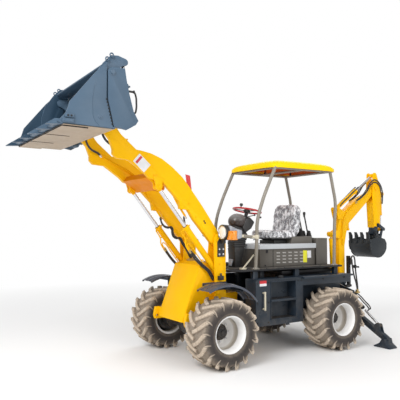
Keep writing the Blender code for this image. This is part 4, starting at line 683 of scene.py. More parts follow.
def bolt_row(name, spots, axis, radius, finish, body):
    """Hexagon bolts on washers: one is modelled, the rest are copies."""
    axis = Vector(axis).normalized()
    height = radius * 0.8
    spots = [Vector(s) for s in spots]
    head = rod(name, spots[0], spots[0] + axis * height, radius, 6)
    stepped(head, facing(*axis), radius * 0.12, axis * height * 0.12)
    washer = rod(name + "_washer", spots[0] - axis * 0.002, spots[0] + axis * height * 0.22, radius * 1.45, 14)
    parts = [merged(name, [head, washer])]
    for spot in spots[1:]:
        parts.append(again(parts[0], spot - spots[0]))
    return wear(assembled(name, parts, 30), finish, body)


WALL_R, SHOULDER_Y, LUG_H, LUG_COUNT = 0.366, 0.197, 0.027, 17


def wall_r(y):
    """Radius of the tyre under its lugs."""
    share = min(abs(y) / SHOULDER_Y, 1)
    return WALL_R - 0.030 * share**3.2


def tyre():
    """One tyre about the origin: a spun casing, and one lug of each side copied round."""
    half = [(0, 0.366), (0.06, 0.3655), (0.12, 0.360), (0.160, 0.350), (0.183, 0.334), (0.193, 0.305), (0.197, 0.275)]
    half += [(0.194, 0.250), (0.188, 0.236), (0.184, 0.226), (0.186, 0.220), (0.178, 0.212), (0.166, 0.2075)]
    line = [(0, -y, r) for y, r in reversed(half[1:])] + [(0, y, r) for y, r in half]
    casing = smooth(spun("casing", line, (0, 0, 0), 80), 60)
    # a lug: a short edge pulled across the tread in a curve, then up, its top drawn in
    path = [
        (0.000, -0.012), (-0.012, 0.020), (-0.032, 0.062), (-0.058, 0.104), (-0.090, 0.140), (-0.122, 0.170),
        (-0.138, 0.190), (-0.146, 0.205), (-0.150, 0.222), (-0.152, 0.250)
    ]
    width = 0.036
    lug = wire("lug", [(-width / 2, -0.022, 0), (width / 2, -0.002, 0)])
    choose(lug, everything, "VERT")
    for first, second in zip(path, path[1:]):
        pull(second[0] - first[0], second[1] - first[1], 0)
    bpy.ops.mesh.select_all(action="SELECT")
    pull(0, 0, LUG_H + 0.012)
    bpy.ops.transform.resize(value=(0.90, 0.985, 1))
    bpy.ops.mesh.select_all(action="SELECT")
    bpy.ops.mesh.normals_make_consistent(inside=False)
    done()
    soften(lug, 0.0045, 2, 50)
    for corner in lug.data.vertices:
        x, y, up = corner.co
        sunk = 0.010 + 0.010 * max(0, abs(y) - 0.12) / 0.066
        around = x / WALL_R
        share = up / (LUG_H + 0.012)
        over = min(1, max(0, abs(y) - 0.188) / 0.060)
        foot, tip = wall_r(y) - sunk, WHEEL_R - 0.0008 - 0.020 * min(1, abs(y) / SHOULDER_Y) ** 4
        if over:
            # past the shoulder the lug runs down the side wall and dies away
            foot, tip = 0.319 - 0.045 * over, 0.410 - 0.122 * over**0.8
            y = 0.182 + 0.007 * over + share * (0.010 - 0.001 * over)
        reach = foot + (tip - foot) * share
        corner.co = (reach * math.sin(around), y, reach * math.cos(around))
    twin = again(lug)
    twin.scale = (1, -1, 1)
    twin.rotation_euler = (0, math.pi / LUG_COUNT, 0)
    settle(twin)
    face_out(twin)
    pair = merged("lugs", [lug, twin])
    bpy.ops.object.empty_add(location=(0, 0, 0), rotation=(0, 2 * math.pi / LUG_COUNT, 0))
    turner = bpy.context.object
    modify(pair, "ARRAY", count=LUG_COUNT, use_relative_offset=False, use_object_offset=True, offset_object=turner)
    bpy.data.objects.remove(turner)
    smooth(pair, 40)
    made = merged("tyre", [casing, pair])
    tread = made.data.attributes.new("tread", "FLOAT", "POINT")
    values = []
    for corner in made.data.vertices:
        reach = math.hypot(corner.co.x, corner.co.z)
        flat = 1 - min(1, max(0, (abs(corner.co.y) - 0.165) / 0.03))
        top = reach > wall_r(corner.co.y) + 0.012 and abs(corner.co.y) < 0.199
        values.append(1.0 if top else (0.45 if abs(corner.co.y) > 0.1972 else 0.50 * flat))
    tread.data.foreach_set("value", values)
    return made


def rim():
    """One deep rim about the origin, its outer side toward +Y; closed like a turned part."""
    face = [
        (0.015, 0.0004), (0.015, 0.052), (0.011, 0.060), (-0.033, 0.066), (-0.0385, 0.072), (-0.041, 0.122),
        (-0.035, 0.134)
    ]
    face += [
        (0.001, 0.158), (0.009, 0.172), (0.015, 0.181), (0.060, 0.182), (0.068, 0.178), (0.082, 0.178), (0.090, 0.182)
    ]
    face += [(0.158, 0.184), (0.166, 0.190), (0.172, 0.203), (0.178, 0.2095)]
    face += [(0.182, 0.2075), (0.182, 0.200), (0.176, 0.196), (0.170, 0.1915), (0.164, 0.1905)]
    back = [(-0.164, 0.1905), (-0.170, 0.1915), (-0.178, 0.2085), (-0.182, 0.2065), (-0.176, 0.197), (-0.168, 0.184)]
    back += [
        (-0.015, 0.176), (-0.055, 0.120), (-0.070, 0.084), (-0.252, 0.084), (-0.252, 0.036), (-0.142, 0.036),
        (-0.142, 0.0004)
    ]
    made = spun("rim", [(0, y, r) for y, r in face + back], (0, 0, 0), 64)
    made = smooth(soften(made, 0.0012, 2, 50), 40)
    # depth marks the painted shade: 0 on the lips, 0.85 down the well, 0.30 on the disc, 2 on the back
    depth = made.data.attributes.new("depth", "FLOAT", "POINT")
    values = []
    for corner in made.data.vertices:
        y, reach = corner.co.y, math.hypot(corner.co.x, corner.co.z)
        if reach > 0.1835 or y > 0.066:
            values.append(0.0)
        elif y < -0.010 and reach > 0.165 or y < -0.052:
            values.append(2.0)
        else:
            values.append(0.85 if reach > 0.160 else 0.30)
    depth.data.foreach_set("value", values)
    return made


def wheels():
    """Four wheels: tyre and rim copied to their axles, lugs pointing forward, with hub, nuts, drum and valve."""
    pattern, dish = tyre(), rim()
    drum = spun(
        "brake_drum",
        [(0, y, r) for y, r in (
            (-0.150, 0.086), (-0.154, 0.140), (-0.148, 0.150), (-0.125, 0.152), (-0.122, 0.146), (-0.090, 0.146),
            (-0.080, 0.136), (-0.076, 0.086), (-0.150, 0.086)
        )],
        (0, 0, 0), 40
    )
    smooth(soften(drum, 0.002), 40)
    nut = rod("wheel_nut", (0.108, -0.044, 0), (0.108, -0.020, 0), 0.0115, 6)
    soften(nut, 0.002)
    cap = spun(
        "hub_cap",
        [
            (0, -0.044, 0.0004), (0, -0.044, 0.092), (0, -0.028, 0.091), (0, -0.024, 0.070), (0, 0.019, 0.064),
            (0, 0.025, 0.055), (0, 0.026, 0.030), (0, 0.033, 0.026), (0, 0.034, 0.0004)
        ],
        (0, 0, 0), 32
    )
    ring = [nut]
    for i in range(1, 8):
        ring.append(again(nut, turn=Matrix.Rotation(i * math.pi / 4, 3, "Y").to_euler()))
    for i in range(6):
        turn = i * math.pi / 3
        ring.append(rod(
            "cap_bolt", (0.044 * math.cos(turn), 0.023, 0.044 * math.sin(turn)),
            (0.044 * math.cos(turn), 0.034, 0.044 * math.sin(turn)), 0.006, 6
        ))
    hub = assembled("hub", ring[8:] + [cap], 30)
    nuts = assembled("wheel_nuts", ring[:8], 30)
    stem = merged(
        "valve",
        [
            rod("valve", (0.150, -0.005, 0), (0.168, 0.040, 0), 0.0045, 10),
            rod("valve_cap", (0.168, 0.040, 0), (0.173, 0.054, 0), 0.0060, 10)
        ]
    )
    for end, x in AXLE_X.items():
        for side, tag in SIDES:
            name = end + "_" + tag
            for source, kind, finish in (
                (pattern, "tyre", TYRE),
                (dish, "rim", RIM_SILVER),
                (nuts, "wheel_nuts", CHROME),
                (hub, "hub", SHOP_BLACK),
                (drum, "brake_drum", SHOP_BLACK),
                (stem, "valve_stem", SHOP_BLACK),
            ):
                turned = side < 0 and kind != "tyre"
                turn = Matrix.Rotation(math.pi if turned else 0, 3, "Z").to_euler()
                made = again(source, at(x, side * WHEEL_Y, WHEEL_R), turn)
                made.name = kind + "_detail_" + name
                covers = (kind + "_" + name,) if kind in ("tyre", "rim") else ()
                wear(made, finish, "wheel_" + name, replaces=covers)
    for source in (pattern, dish, nuts, stem, hub, drum):
        bpy.data.objects.remove(source)


HOOD_Y, HOOD_BACK, HOOD_FRONT, DECK_Z, LID_Z = 0.300, -0.050, 0.930, 1.055, 1.300
BOX_Y = 0.600


def hood_louvres():
    """Pressed louvres: one scoop is modelled from a block and copied to its rows and columns."""
    scoop = block("scoop", at(0.170, HOOD_Y - 0.001, DECK_Z + 0.049), at(0.232, HOOD_Y + 0.009, DECK_Z + 0.066))
    resized(scoop, facing(0, 0, -1), (0.94, 1, 1))
    choose(scoop, lambda middle, way: middle.y > HOOD_Y + 0.007 and middle.z > DECK_Z + 0.060, "EDGE")
    bpy.ops.transform.translate(value=(0, -0.007, 0.001))
    done()
    soften(scoop, 0.0022, 2, 30)
    smooth(scoop, 60)
    parts = [scoop]
    for column in range(5):
        for row in range(4):
            if column or row:
                parts.append(again(scoop, (0.105 * column, 0, 0.043 * row)))
    left = wear(merged("hood_louvres_left", parts), HOOD_LOUVRE, "rear_body")
    wear(mirrored(left, "hood_louvres_right"), HOOD_LOUVRE, "rear_body")


def hood_lid():
    """Pale lid over the hood: a pressed cover with a raised middle and a step at the rear."""
    lid = block(
        "hood_lid_cover", at(HOOD_BACK - 0.014, -HOOD_Y - 0.014, LID_Z - 0.006),
        at(HOOD_FRONT + 0.014, HOOD_Y + 0.014, LID_Z + 0.0565)
    )
    stepped(lid, facing(0, 0, 1), 0.022, (0, 0, 0.0015))
    stepped(lid, facing(0, 0, -1), 0.0125, (0, 0, 0.0065))
    smooth(soften(lid, 0.006, 3), 40)
    wear(lid, LID_GREY, "rear_body")
    for side, tag in SIDES:
        strips = []
        for x in (0.700, 0.712):
            strips.append(block(
                "seam", at(x, side * HOOD_Y - 0.001, DECK_Z + 0.006),
                at(x + 0.0035, side * HOOD_Y + 0.0016, LID_Z - 0.006)
            ))
        for low, high in ((0.702, 0.918), (-0.040, 0.700)):
            strips.append(block(
                "seam", at(low, side * HOOD_Y - 0.001, DECK_Z + 0.010),
                at(high, side * HOOD_Y + 0.0016, DECK_Z + 0.013)
            ))
        seam = soften(merged("hood_seams_" + tag, strips), 0.0004, 1)
        wear(seam, SHOP_BLACK, "rear_body")
        catch = block(
            "catch", at(0.800, side * (HOOD_Y - 0.001), LID_Z - 0.055),
            at(0.828, side * (HOOD_Y + 0.008), LID_Z - 0.015)
        )
        stepped(catch, facing(0, side, 0), 0.006, (0, -side * 0.004, 0))
        knob = rod(
            "catch_knob", at(0.845, side * HOOD_Y, DECK_Z + 0.028), at(0.845, side * (HOOD_Y + 0.012), DECK_Z + 0.028),
            0.009, 12
        )
        wear(assembled("hood_catch_" + tag, [catch, knob], 30, 0.0012), SHOP_BLACK, "rear_body")


def plates():
    """Blank label plates, each a thin rounded sheet with a coloured band where the real ones are printed."""
    rows = (
        ("hood_plate_yellow", HOOD_Y, (0.098, 1.100), (0.172, 1.262), LABEL_YELLOW),
        ("hood_plate_white", HOOD_Y, (0.020, 1.160), (0.092, 1.258), LABEL_WHITE),
        ("box_plate_white", BOX_Y, (1.078, 0.862), (1.186, 0.892), LABEL_WHITE),
        ("box_plate_red", BOX_Y, (1.078, 0.892), (1.186, 0.930), LABEL_RED),
    )
    for name, y, low, high, finish in rows:
        made = block(name, at(low[0], y + 0.0002, low[1]), at(high[0], y + 0.0018, high[1]))
        choose(made, lambda middle, way: abs(way.y) > 0.001 and abs(way.x) + abs(way.z) < 0.0001, "EDGE")
        bpy.ops.mesh.bevel(offset=0.006, segments=3)
        done()
        wear(smooth(made, 30), finish, "rear_body")


def ring_stack(name, middle, radii, gap, steps=24):
    """Bellows of a lever: a profile that goes in and out, spun round and closed."""
    points = [(middle[0], middle[1], middle[2])]
    up = 0
    for wide, narrow in radii:
        points.append((middle[0] + wide, middle[1], middle[2] + up))
        points.append((middle[0] + wide, middle[1], middle[2] + up + gap * 0.35))
        points.append((middle[0] + narrow, middle[1], middle[2] + up + gap * 0.65))
        up += gap
    points.append((middle[0], middle[1], middle[2] + up))
    return smooth(spun(name, points, middle, steps, (0, 0, 1)), 50)


def lever_stand():
    """Grey sheet boxes behind the seat with five levers in black boots."""
    low = cutout(
        "lever_box",
        side_view(0, (-0.060, 1.3562), (0.330, 1.3562), (0.310, 1.4480), (0.060, 1.4530), (-0.060, 1.4530)),
        (0, 0.480, 0)
    )
    column = block("rear_cabinet", at(-0.362, -0.242, DECK_Z + 0.0005), at(-0.138, 0.242, 1.4265))
    choose(column, lambda middle, normal: abs(normal.y) > 0.9)
    bpy.ops.mesh.inset(thickness=0.014)
    bpy.ops.transform.resize(value=(1, 0.994, 1))
    done()
    bridge = block("bridge_box", at(-0.205, -0.152, 1.374), at(-0.050, 0.152, 1.4215))
    stand = assembled("lever_stand_boxes", [low, column, bridge], 40, 0.004, 3)
    wear(stand, HOOD_GREY, "rear_body", replaces=("control_stand",))
    boots, rods, knobs = [], [], []
    for x, y, z, lean in (
        (0.050, 0.13, 1.453, 0.060), (0.050, -0.13, 1.453, 0.060), (-0.130, 0.11, 1.4215, 0.085),
        (-0.130, 0.0, 1.4215, 0.085), (-0.170, -0.13, 1.4265, 0.085)
    ):
        foot = at(x, y, z)
        plate_low = block("boot_plate", foot + Vector((-0.055, -0.055, -0.002)), foot + Vector((0.055, 0.055, 0.008)))
        boots.append(soften(plate_low, 0.003))
        boots.append(ring_stack(
            "boot", foot + Vector((0, 0, 0.006)),
            [
                (0.050, 0.038), (0.046, 0.034), (0.041, 0.030), (0.036, 0.025), (0.031, 0.020),
                (0.026, 0.012)
            ],
            0.018
        ))
        top = foot + Vector((lean, 0, 0.330))
        rods.append(rod("lever", foot + Vector((lean * 0.3, 0, 0.09)), top, 0.0100, 14))
        rods.append(rod(
            "lever_nut", foot + Vector((lean * 0.35, 0, 0.112)), foot + Vector((lean * 0.39, 0, 0.126)),
            0.011, 6
        ))
        grip = spun(
            "grip",
            [top + Vector(p) for p in (
                (0.0004, 0, -0.030), (0.011, 0, -0.030), (0.0135, 0, -0.012), (0.019, 0, 0.018), (0.0195, 0, 0.032),
                (0.014, 0, 0.043), (0.0004, 0, 0.047)
            )],
            top, 20, (0, 0, 1)
        )
        knobs.append(smooth(grip, 60))
    wear(merged("lever_boots", boots), BOOT_RUBBER, "rear_body")
    wear(assembled("lever_rods", rods, 40), BLACK_PLASTIC, "rear_body")
    wear(merged("lever_knobs", knobs), BLACK_PLASTIC, "rear_body")


def cushion(name, low, high, crown, round_off):
    """A stuffed pad: a block cut finely, its edges rounded, its faces crowned between pulled-in sides."""
    pad = block(name, low, high)
    choose(pad, everything)
    bpy.ops.mesh.subdivide(number_cuts=9)
    done()
    low, high = Vector(low), Vector(high)
    middle, half = (low + high) / 2, (high - low) / 2
    for corner in pad.data.vertices:
        share = Vector(((corner.co - middle)[i] / half[i] for i in range(3)))
        rim = [max(0, 1 - abs(s) ** round_off) for s in share]
        corner.co.z += crown * rim[0] * rim[1] * (1 if share.z > 0 else -0.15)
        for i in range(2):
            other = abs(share[1 - i])
            corner.co[i] -= math.copysign(0.020 * half[i] / half[0], share[i]) * abs(share[i]) ** 5 * (
                other**6 * 1.6 + abs(share.z) ** 4 * 0.7
            )
    return pad


def seat():
    """Suspension seat: ribbed cushion and back with bolsters on a black mount, all under a clear film."""
    base = block("seat_base", at(0.250, -0.150, 1.3558), at(0.560, 0.150, 1.402))
    choose(base, facing(0, 0, 1))
    bpy.ops.mesh.inset(thickness=0.03)
    pull(0, 0, 0.022)
    bpy.ops.transform.resize(value=(1.3, 1.3, 1))
    done()
    pan = block("seat_pan", at(0.185, -0.232, 1.420), at(0.672, 0.232, 1.440))
    slide = rod("slide_bar", at(0.640, -0.12, 1.412), at(0.700, -0.12, 1.405), 0.006, 10)
    mount = assembled("seat_mount", [base, pan, slide], 40, 0.005, 3)
    wear(mount, BLACK_PLASTIC, "rear_body", replaces=("seat",))
    pad = cushion("seat_cushion", at(0.195, -0.232, 1.436), at(0.676, 0.232, 1.512), 0.018, 3)
    rest = cushion("seat_backrest", at(-0.02, -0.222, -0.045), at(0.42, 0.222, 0.045), 0.020, 3)
    turned_up = Matrix.Translation(at(0.212, 0, 1.470)) @ Matrix.Rotation(
        math.radians(-97.5), 4, "Y"
    ) @ Matrix.Translation(-at(0, 0, 0))
    rest.matrix_world = turned_up
    settle(rest)
    for piece, along in ((pad, 0), (rest, 2)):
        modify(piece, "SUBSURF", levels=1, render_levels=1)
        smooth(piece, 80)
        for corner in piece.data.vertices:
            spot = corner.co + Vector((MID_X, 0, 0))
            if along == 0:
                up = max(0.0, min(1.0, (spot.z - 1.470) / 0.030))
                inside = max(0.0, 1 - (abs(spot.y) / 0.170) ** 8)
                corner.co.z -= 0.007 * up * inside * math.exp(-((((spot.x - 0.20) % 0.075) - 0.0375) / 0.006) ** 2)
                corner.co.z += 0.016 * up * (1 - inside) * (1 if abs(spot.y) < 0.215 else 0.3)
            else:
                inside = max(0.0, 1 - (abs(spot.y) / 0.150) ** 8)
                front = 1.0 if spot.x > 0.212 - (spot.z - 1.470) * 0.13 else 0.0
                corner.co.x -= 0.008 * front * inside * math.exp(-((((spot.z - 1.47) % 0.070) - 0.035) / 0.006) ** 2)
                corner.co.x += 0.020 * front * (1 - inside) * (1 if abs(spot.y) < 0.205 else 0.3)
        wear(piece, SEAT_CLOTH, "rear_body")
    film_over("seat_film_cushion", pad, 0.004)
    film_over("seat_film_back", rest, 0.004)


def film_over(name, pad, gap):
    """Thin clear wrap drawn loosely over a pad: a copy let out a little and creased."""
    wrap = again(pad)
    wrap.name = name
    modify(wrap, "DISPLACE", strength=gap, mid_level=0.0)
    creases = bpy.data.textures.new(name, "CLOUDS")
    creases.noise_scale = 0.07
    creases.noise_depth = 2
    only(wrap)
    modify(wrap, "SUBSURF", levels=1, render_levels=1)
    modify(wrap, "DISPLACE", strength=0.020, mid_level=0.32, texture=creases)
    smooth(wrap, 30)
    wear(wrap, SEAT_FILM, "rear_body")


def steering_column():
    """Column in black ribs, a wide grey cowl leaning back, the gauge face under the wheel and a small lever."""
    foot = cutout(
        "column_foot",
        side_view(
            0, (1.072, 1.0556), (1.160, 1.0556), (1.158, 1.200), (1.176, 1.380), (1.150, 1.420), (0.990, 1.420),
            (0.975, 1.380), (1.030, 1.200)
        ),
        (0, 0.150, 0)
    )
    for z in (1.300, 1.330, 1.360, 1.390):
        choose(foot, everything)
        bpy.ops.mesh.bisect(plane_co=at(1.1, 0, z), plane_no=(0, 0, 1))
        done()
    for z in (1.315, 1.345, 1.375):
        choose(foot, everything)
        bpy.ops.mesh.bisect(plane_co=at(1.1, 0, z), plane_no=(0, 0, 1))
        bpy.ops.transform.resize(value=(0.93, 0.93, 1), center_override=at(1.09, 0, z))
        done()
    neck = cutout(
        "column_neck",
        side_view(0, (0.985, 1.405), (1.165, 1.405), (1.170, 1.500), (1.180, 1.600), (1.020, 1.560), (0.965, 1.480)),
        (0, 0.190, 0)
    )
    lower = smooth(soften(merged("column_lower", [foot, neck]), 0.012, 3, 25), 50)
    wear(lower, BLACK_PLASTIC, "rear_body", replaces=("console",))
    cowl = ball("column_cowl", at(1.062, 0, 1.655), 0.1, (1, 1, 1), 24)
    resized(cowl, everything, (1.30, 1.14, 1.06), at(1.062, 0, 1.655))
    resized(cowl, lambda spot: spot.x + MID_X < 0.985, (1.0, 0.92, 0.80), at(1.000, 0, 1.665), kind="VERT")
    resized(cowl, lambda spot: spot.z < 1.585, (0.92, 0.96, 0.70), at(1.062, 0, 1.585), kind="VERT")
    wear(smooth(cowl, 70), COWL_GREY, "rear_body")
    pedal = cutout(
        "floor_pedal", side_view(0, (1.185, 1.075), (1.205, 1.082), (1.175, 1.165), (1.155, 1.158)), (0, 0.070, 0)
    )
    pedal_arm = rod("pedal_arm", at(1.165, 0, 1.110), at(1.120, 0, 1.085), 0.008, 12)
    knob = ball("floor_knob", at(1.268, 0.045, 1.105), 0.022, (1, 1, 1.2), 12)
    knob_stem = rod("knob_stem", at(1.268, 0.045, 1.0600), at(1.268, 0.045, 1.090), 0.010, 14, 0.007)
    wear(assembled("floor_pedal", [pedal, pedal_arm], 40, 0.003), LAMP_GREY, "rear_body")
    wear(assembled("floor_knob", [knob, knob_stem], 50), BLACK_PLASTIC, "rear_body")
    face = cutout(
        "gauge_panel",
        side_view(0, (0.858, 1.648), (0.915, 1.560), (1.020, 1.500), (1.060, 1.560), (1.000, 1.700), (0.940, 1.715)),
        (0, 0.235, 0)
    )
    wear(smooth(soften(face, 0.018, 3, 40), 50), BLACK_PLASTIC, "rear_body")


def steering_wheel():
    """Red rim on a black hub and three spokes, with a spinner knob, leaning toward the seat."""
    clear()
    bpy.ops.mesh.primitive_torus_add(major_radius=0.187, minor_radius=0.0125, major_segments=64, minor_segments=14)
    ring = bpy.context.object
    ring.name = "wheel_ring"
    lean = Matrix.Translation(at(0.900, 0, 1.800)) @ Matrix.Rotation(math.radians(-11), 4, "Y")
    hub = spun(
        "wheel_hub",
        [
            (0.0004, 0, -0.030), (0.040, 0, -0.030), (0.046, 0, -0.012), (0.047, 0, 0.004), (0.038, 0, 0.013),
            (0.0004, 0, 0.016)
        ],
        (0, 0, 0), 32, (0, 0, 1)
    )
    parts = [smooth(hub, 40)]
    for angle in (90, 210, 330):
        turn = math.radians(angle)
        spoke = block("spoke", (0.035, -0.013, -0.010), (0.180, 0.013, 0.001))
        resized(spoke, facing(1, 0, 0), (1, 0.65, 0.8))
        soften(spoke, 0.003, 2)
        parts.append(again(spoke, turn=Matrix.Rotation(turn, 3, "Z").to_euler()))
        bpy.data.objects.remove(spoke)
    knob = spun(
        "spinner",
        [
            (0.0004, 0, 0), (0.009, 0, 0), (0.009, 0, 0.018), (0.019, 0, 0.022), (0.023, 0, 0.038), (0.017, 0, 0.052),
            (0.0004, 0, 0.056)
        ],
        (0, 0, 0), 20, (0, 0, 1)
    )
    knob.location = (0.165, 0.075, 0.008)
    settle(knob)
    parts.append(smooth(knob, 50))
    middle = merged("steering_hub_detail", parts)
    for piece in (ring, middle):
        piece.matrix_world = lean
        settle(piece)
    wear(smooth(ring, 60), RED_GRIP, "rear_body", replaces=("steering_wheel",))
    wear(middle, BLACK_PLASTIC, "rear_body")
    shaft = rod("steering_shaft", at(0.906, 0, 1.774), at(0.9605, 0, 1.620), 0.024, 20)
    stalk = rod("signal_stalk", at(0.938, 0.02, 1.712), at(0.900, 0.150, 1.735), 0.006, 10)
    tip = ball("stalk_tip", at(0.898, 0.158, 1.736), 0.012)
    wear(assembled("steering_shaft", [shaft, stalk, tip], 50, 0.002), BLACK_PLASTIC, "rear_body")


def front_rail():
    """Cream guard rail bowed forward of the column, over the bar of the canopy frame."""
    points = [
        at(1.118, -0.449, 1.4555), at(1.200, -0.435, 1.460), at(1.330, -0.400, 1.470), at(1.375, -0.20, 1.474),
        at(1.385, 0, 1.475)
    ]
    points += [at(1.375, 0.20, 1.474), at(1.330, 0.400, 1.470), at(1.200, 0.435, 1.460), at(1.118, 0.449, 1.4555)]
    wear(pipe("guard_rail_sleeve", points, 0.0195, 10), RAIL_CREAM, "rear_body")
    parts = []
    for side in (1, -1):
        clamp = rod("rail_clamp", at(1.104, side * POST_Y, 1.430), at(1.103, side * POST_Y, 1.482), 0.0295, 24)
        parts.append(soften(clamp, 0.003))
    wear(assembled("rail_clamps", parts, 40), RAIL_CREAM, "rear_body")


def roof():
    """Shallow moulded dome: a fine sheet lifted in the middle, its rim turned down, its downward faces orange as
    painted shade.
    """
    clear()
    bpy.ops.mesh.primitive_grid_add(x_subdivisions=28, y_subdivisions=28, size=2, location=(0, 0, 0))
    dome = bpy.context.object
    dome.name = "roof_dome"
    for corner in dome.data.vertices:
        u, v = corner.co.x, corner.co.y
        u, v = math.sin(u * math.pi / 2), math.sin(v * math.pi / 2)
        pillow = math.sqrt(max(0, (1 - abs(u) ** 5) * (1 - abs(v) ** 5)))
        u, v = u * (1 - 0.075 * abs(v) ** 7), v * (1 - 0.085 * abs(u) ** 7)
        corner.co = at(0.265 + u * 0.595, v * 0.500, 2.385 + 0.086 * pillow)
    choose(dome, lambda middle, way: middle.z < 2.3852, "EDGE")
    pull(0, 0, -0.020)
    pull(0, 0, -0.016)
    done()
    modify(dome, "SOLIDIFY", thickness=0.008, offset=-1)
    face_out(dome)
    wear(smooth(soften(dome, 0.005, 2, 40), 50), ROOF_YELLOW, "rear_body", replaces=("canopy_roof",))
    # downward faces take the painted shade orange
    for face in dome.data.polygons:
        face.material_index = 1 if face.normal.z < -0.2 else 0
    dome.data.materials.append(ROOF_UNDERSIDE_PAINTED_SHADE)
    studs = []
    for x, top in ((0.790, 2.4300), (0.290, 2.4545), (-0.211, 2.4405)):
        for side in (-1, 1):
            studs.append(rod("stud", at(x, side * 0.34, 2.3685), at(x, side * 0.34, top), 0.010, 16))
            studs.append(rod("stud_collar", at(x, side * 0.34, 2.3685), at(x, side * 0.34, 2.380), 0.018, 20))
    wear(assembled("roof_studs", studs, 40, 0.002), SHOP_BLACK, "rear_body")


def platform_trim():
    """Ribbed rubber mat on the floor plate, its bolts, and the cream lever beside the column."""
    mats = []
    for low, high in (
        ((-0.385, 0.315), (1.04, 0.462)), ((0.945, -0.300), (1.36, 0.300)), ((-0.385, -0.462), (1.04, -0.315))
    ):
        mat = block("mat", at(low[0], low[1], DECK_Z + 0.0003), at(high[0], high[1], DECK_Z + 0.004))
        stepped(mat, facing(0, 0, 1), 0.012, (0, 0, -0.0012))
        mats.append(soften(mat, 0.001, 1))
    wear(assembled("floor_mats", mats, 30), MAT_RUBBER, "rear_body")
    arm = rod("park_lever", at(1.270, 0.385, 1.070), at(1.100, 0.402, 1.245), 0.011, 16, 0.0095)
    foot = block("lever_foot", at(1.235, 0.355, DECK_Z + 0.0004), at(1.305, 0.412, 1.078))
    wear(assembled("park_lever", [arm, foot], 40, 0.003), RAIL_CREAM, "rear_body")
    tip = rod("lever_tip", at(1.112, 0.401, 1.232), at(1.068, 0.405, 1.276), 0.014, 16)
    wear(smooth(soften(tip, 0.004), 40), BLACK_PLASTIC, "rear_body")
    spots = [at(x, side * 0.468, DECK_Z + 0.002) for x in (-0.34, 0.02, 0.34, 0.66, 0.96) for side in (1, -1)]
    bolt_row("floor_bolts", spots, (0, 0, 1), 0.007, SHOP_BLACK, "rear_body")
    knob = rod("post_knob", at(1.075, 0.450, 1.700), at(1.040, 0.462, 1.700), 0.012, 14)
    wear(smooth(soften(knob, 0.003), 40), BLACK_PLASTIC, "rear_body")


def box_trim():
    """Side tanks: folded edges, tread on the steps, the cream grab handle, caps and bolts."""
    for side, tag in SIDES:
        parts = []
        for low, high in (
            ((0.596, 0.447), (1.014, 0.457)), ((0.596, 0.664), (1.014, 0.691)), ((0.596, 0.904), (1.014, 0.914))
        ):
            parts.append(block("lip", at(low[0], side * 0.598, low[1]), at(high[0], side * 0.612, high[1])))
        for x in (0.592, 1.008):
            parts.append(block("lip", at(x, side * 0.598, 0.449), at(x + 0.008, side * 0.606, 0.912)))
        parts.append(block("fold", at(0.470, side * 0.596, 0.935), at(1.246, side * 0.615, 0.9465)))
        wear(assembled("box_edges_" + tag, parts, 35, 0.002), CHASSIS_NAVY, "rear_body")
        treads = []
        for z in (0.4552, 0.6912):
            for i in range(7):
                y = side * (0.468 + 0.019 * i)
                treads.append(block("tread", at(0.612, y - 0.0035, z - 0.001), at(0.998, y + 0.0035, z + 0.003)))
        wear(assembled("step_treads_" + tag, treads, 35, 0.0012, 1), SHOP_BLACK, "rear_body")
        sleeve = rod("grab_handle", at(1.130, side * 0.635, 0.572), at(1.130, side * 0.635, 0.798), 0.0118, 20)
        ends = [rod(
            "handle_end", at(1.130, side * 0.599, z), at(1.130, side * 0.637, z), 0.0125, 16
        ) for z in (0.590, 0.780)]
        wear(assembled("grab_handle_" + tag, [sleeve, *ends], 40, 0.002), RAIL_CREAM, "rear_body")
        spots = [
            at(x, side * 0.6003, z) for x in (1.045, 1.220) for z in (0.42, 0.66, 0.90)
        ] + [at(x, side * 0.6003, 0.90) for x in (0.50, 0.55, -0.30, 0.10)]
        bolt_row("box_bolts_" + tag, spots, (0, side, 0), 0.008, SHOP_BLACK, "rear_body")
        cap = spun(
            "filler_cap",
            [at(0.8, side * 0.545, 0.944) + Vector(p) for p in (
                (0.0004, 0, 0), (0.038, 0, 0), (0.038, 0, 0.012), (0.034, 0, 0.028), (0.012, 0, 0.033),
                (0.0004, 0, 0.034)
            )],
            at(0.8, side * 0.545, 0), 24, (0, 0, 1)
        )
        wear(smooth(cap, 35), SHOP_BLACK, "rear_body")


def refined(tag, width=0.0025, angle=35, finish=None, second=None, cut=None, squash=None):
    """A piece of the frame again: its facets joined to whole faces, its edges broken, its round stretches shaded
    round."""
    piece = bpy.data.objects.new(tag + "_detail", frame["nodes"][tag].data.copy())
    bpy.context.collection.objects.link(piece)
    choose(piece, everything)
    bpy.ops.mesh.remove_doubles(threshold=0.00002)
    bpy.ops.mesh.select_all(action="SELECT")
    bpy.ops.mesh.dissolve_limited(angle_limit=math.radians(0.6))
    done()
    if cut:
        choose(piece, everything)
        bpy.ops.mesh.bisect(plane_co=cut, plane_no=(0, 0, 1))
        done()
    if squash:
        resized(piece, squash[0], (1, 1, 0.02), squash[1], kind="VERT")
    soften(piece, width, 2, angle)
    slot = SLOT_OF[tag]
    wear(smooth(piece, 40), finish or SLOT_FINISH[slot], BODY_OF[tag], (tag,))
    if second:
        piece.data.materials.append(second[0])
        for face in piece.data.polygons:
            face.material_index = int(second[1](face.center, face.normal))
    return piece


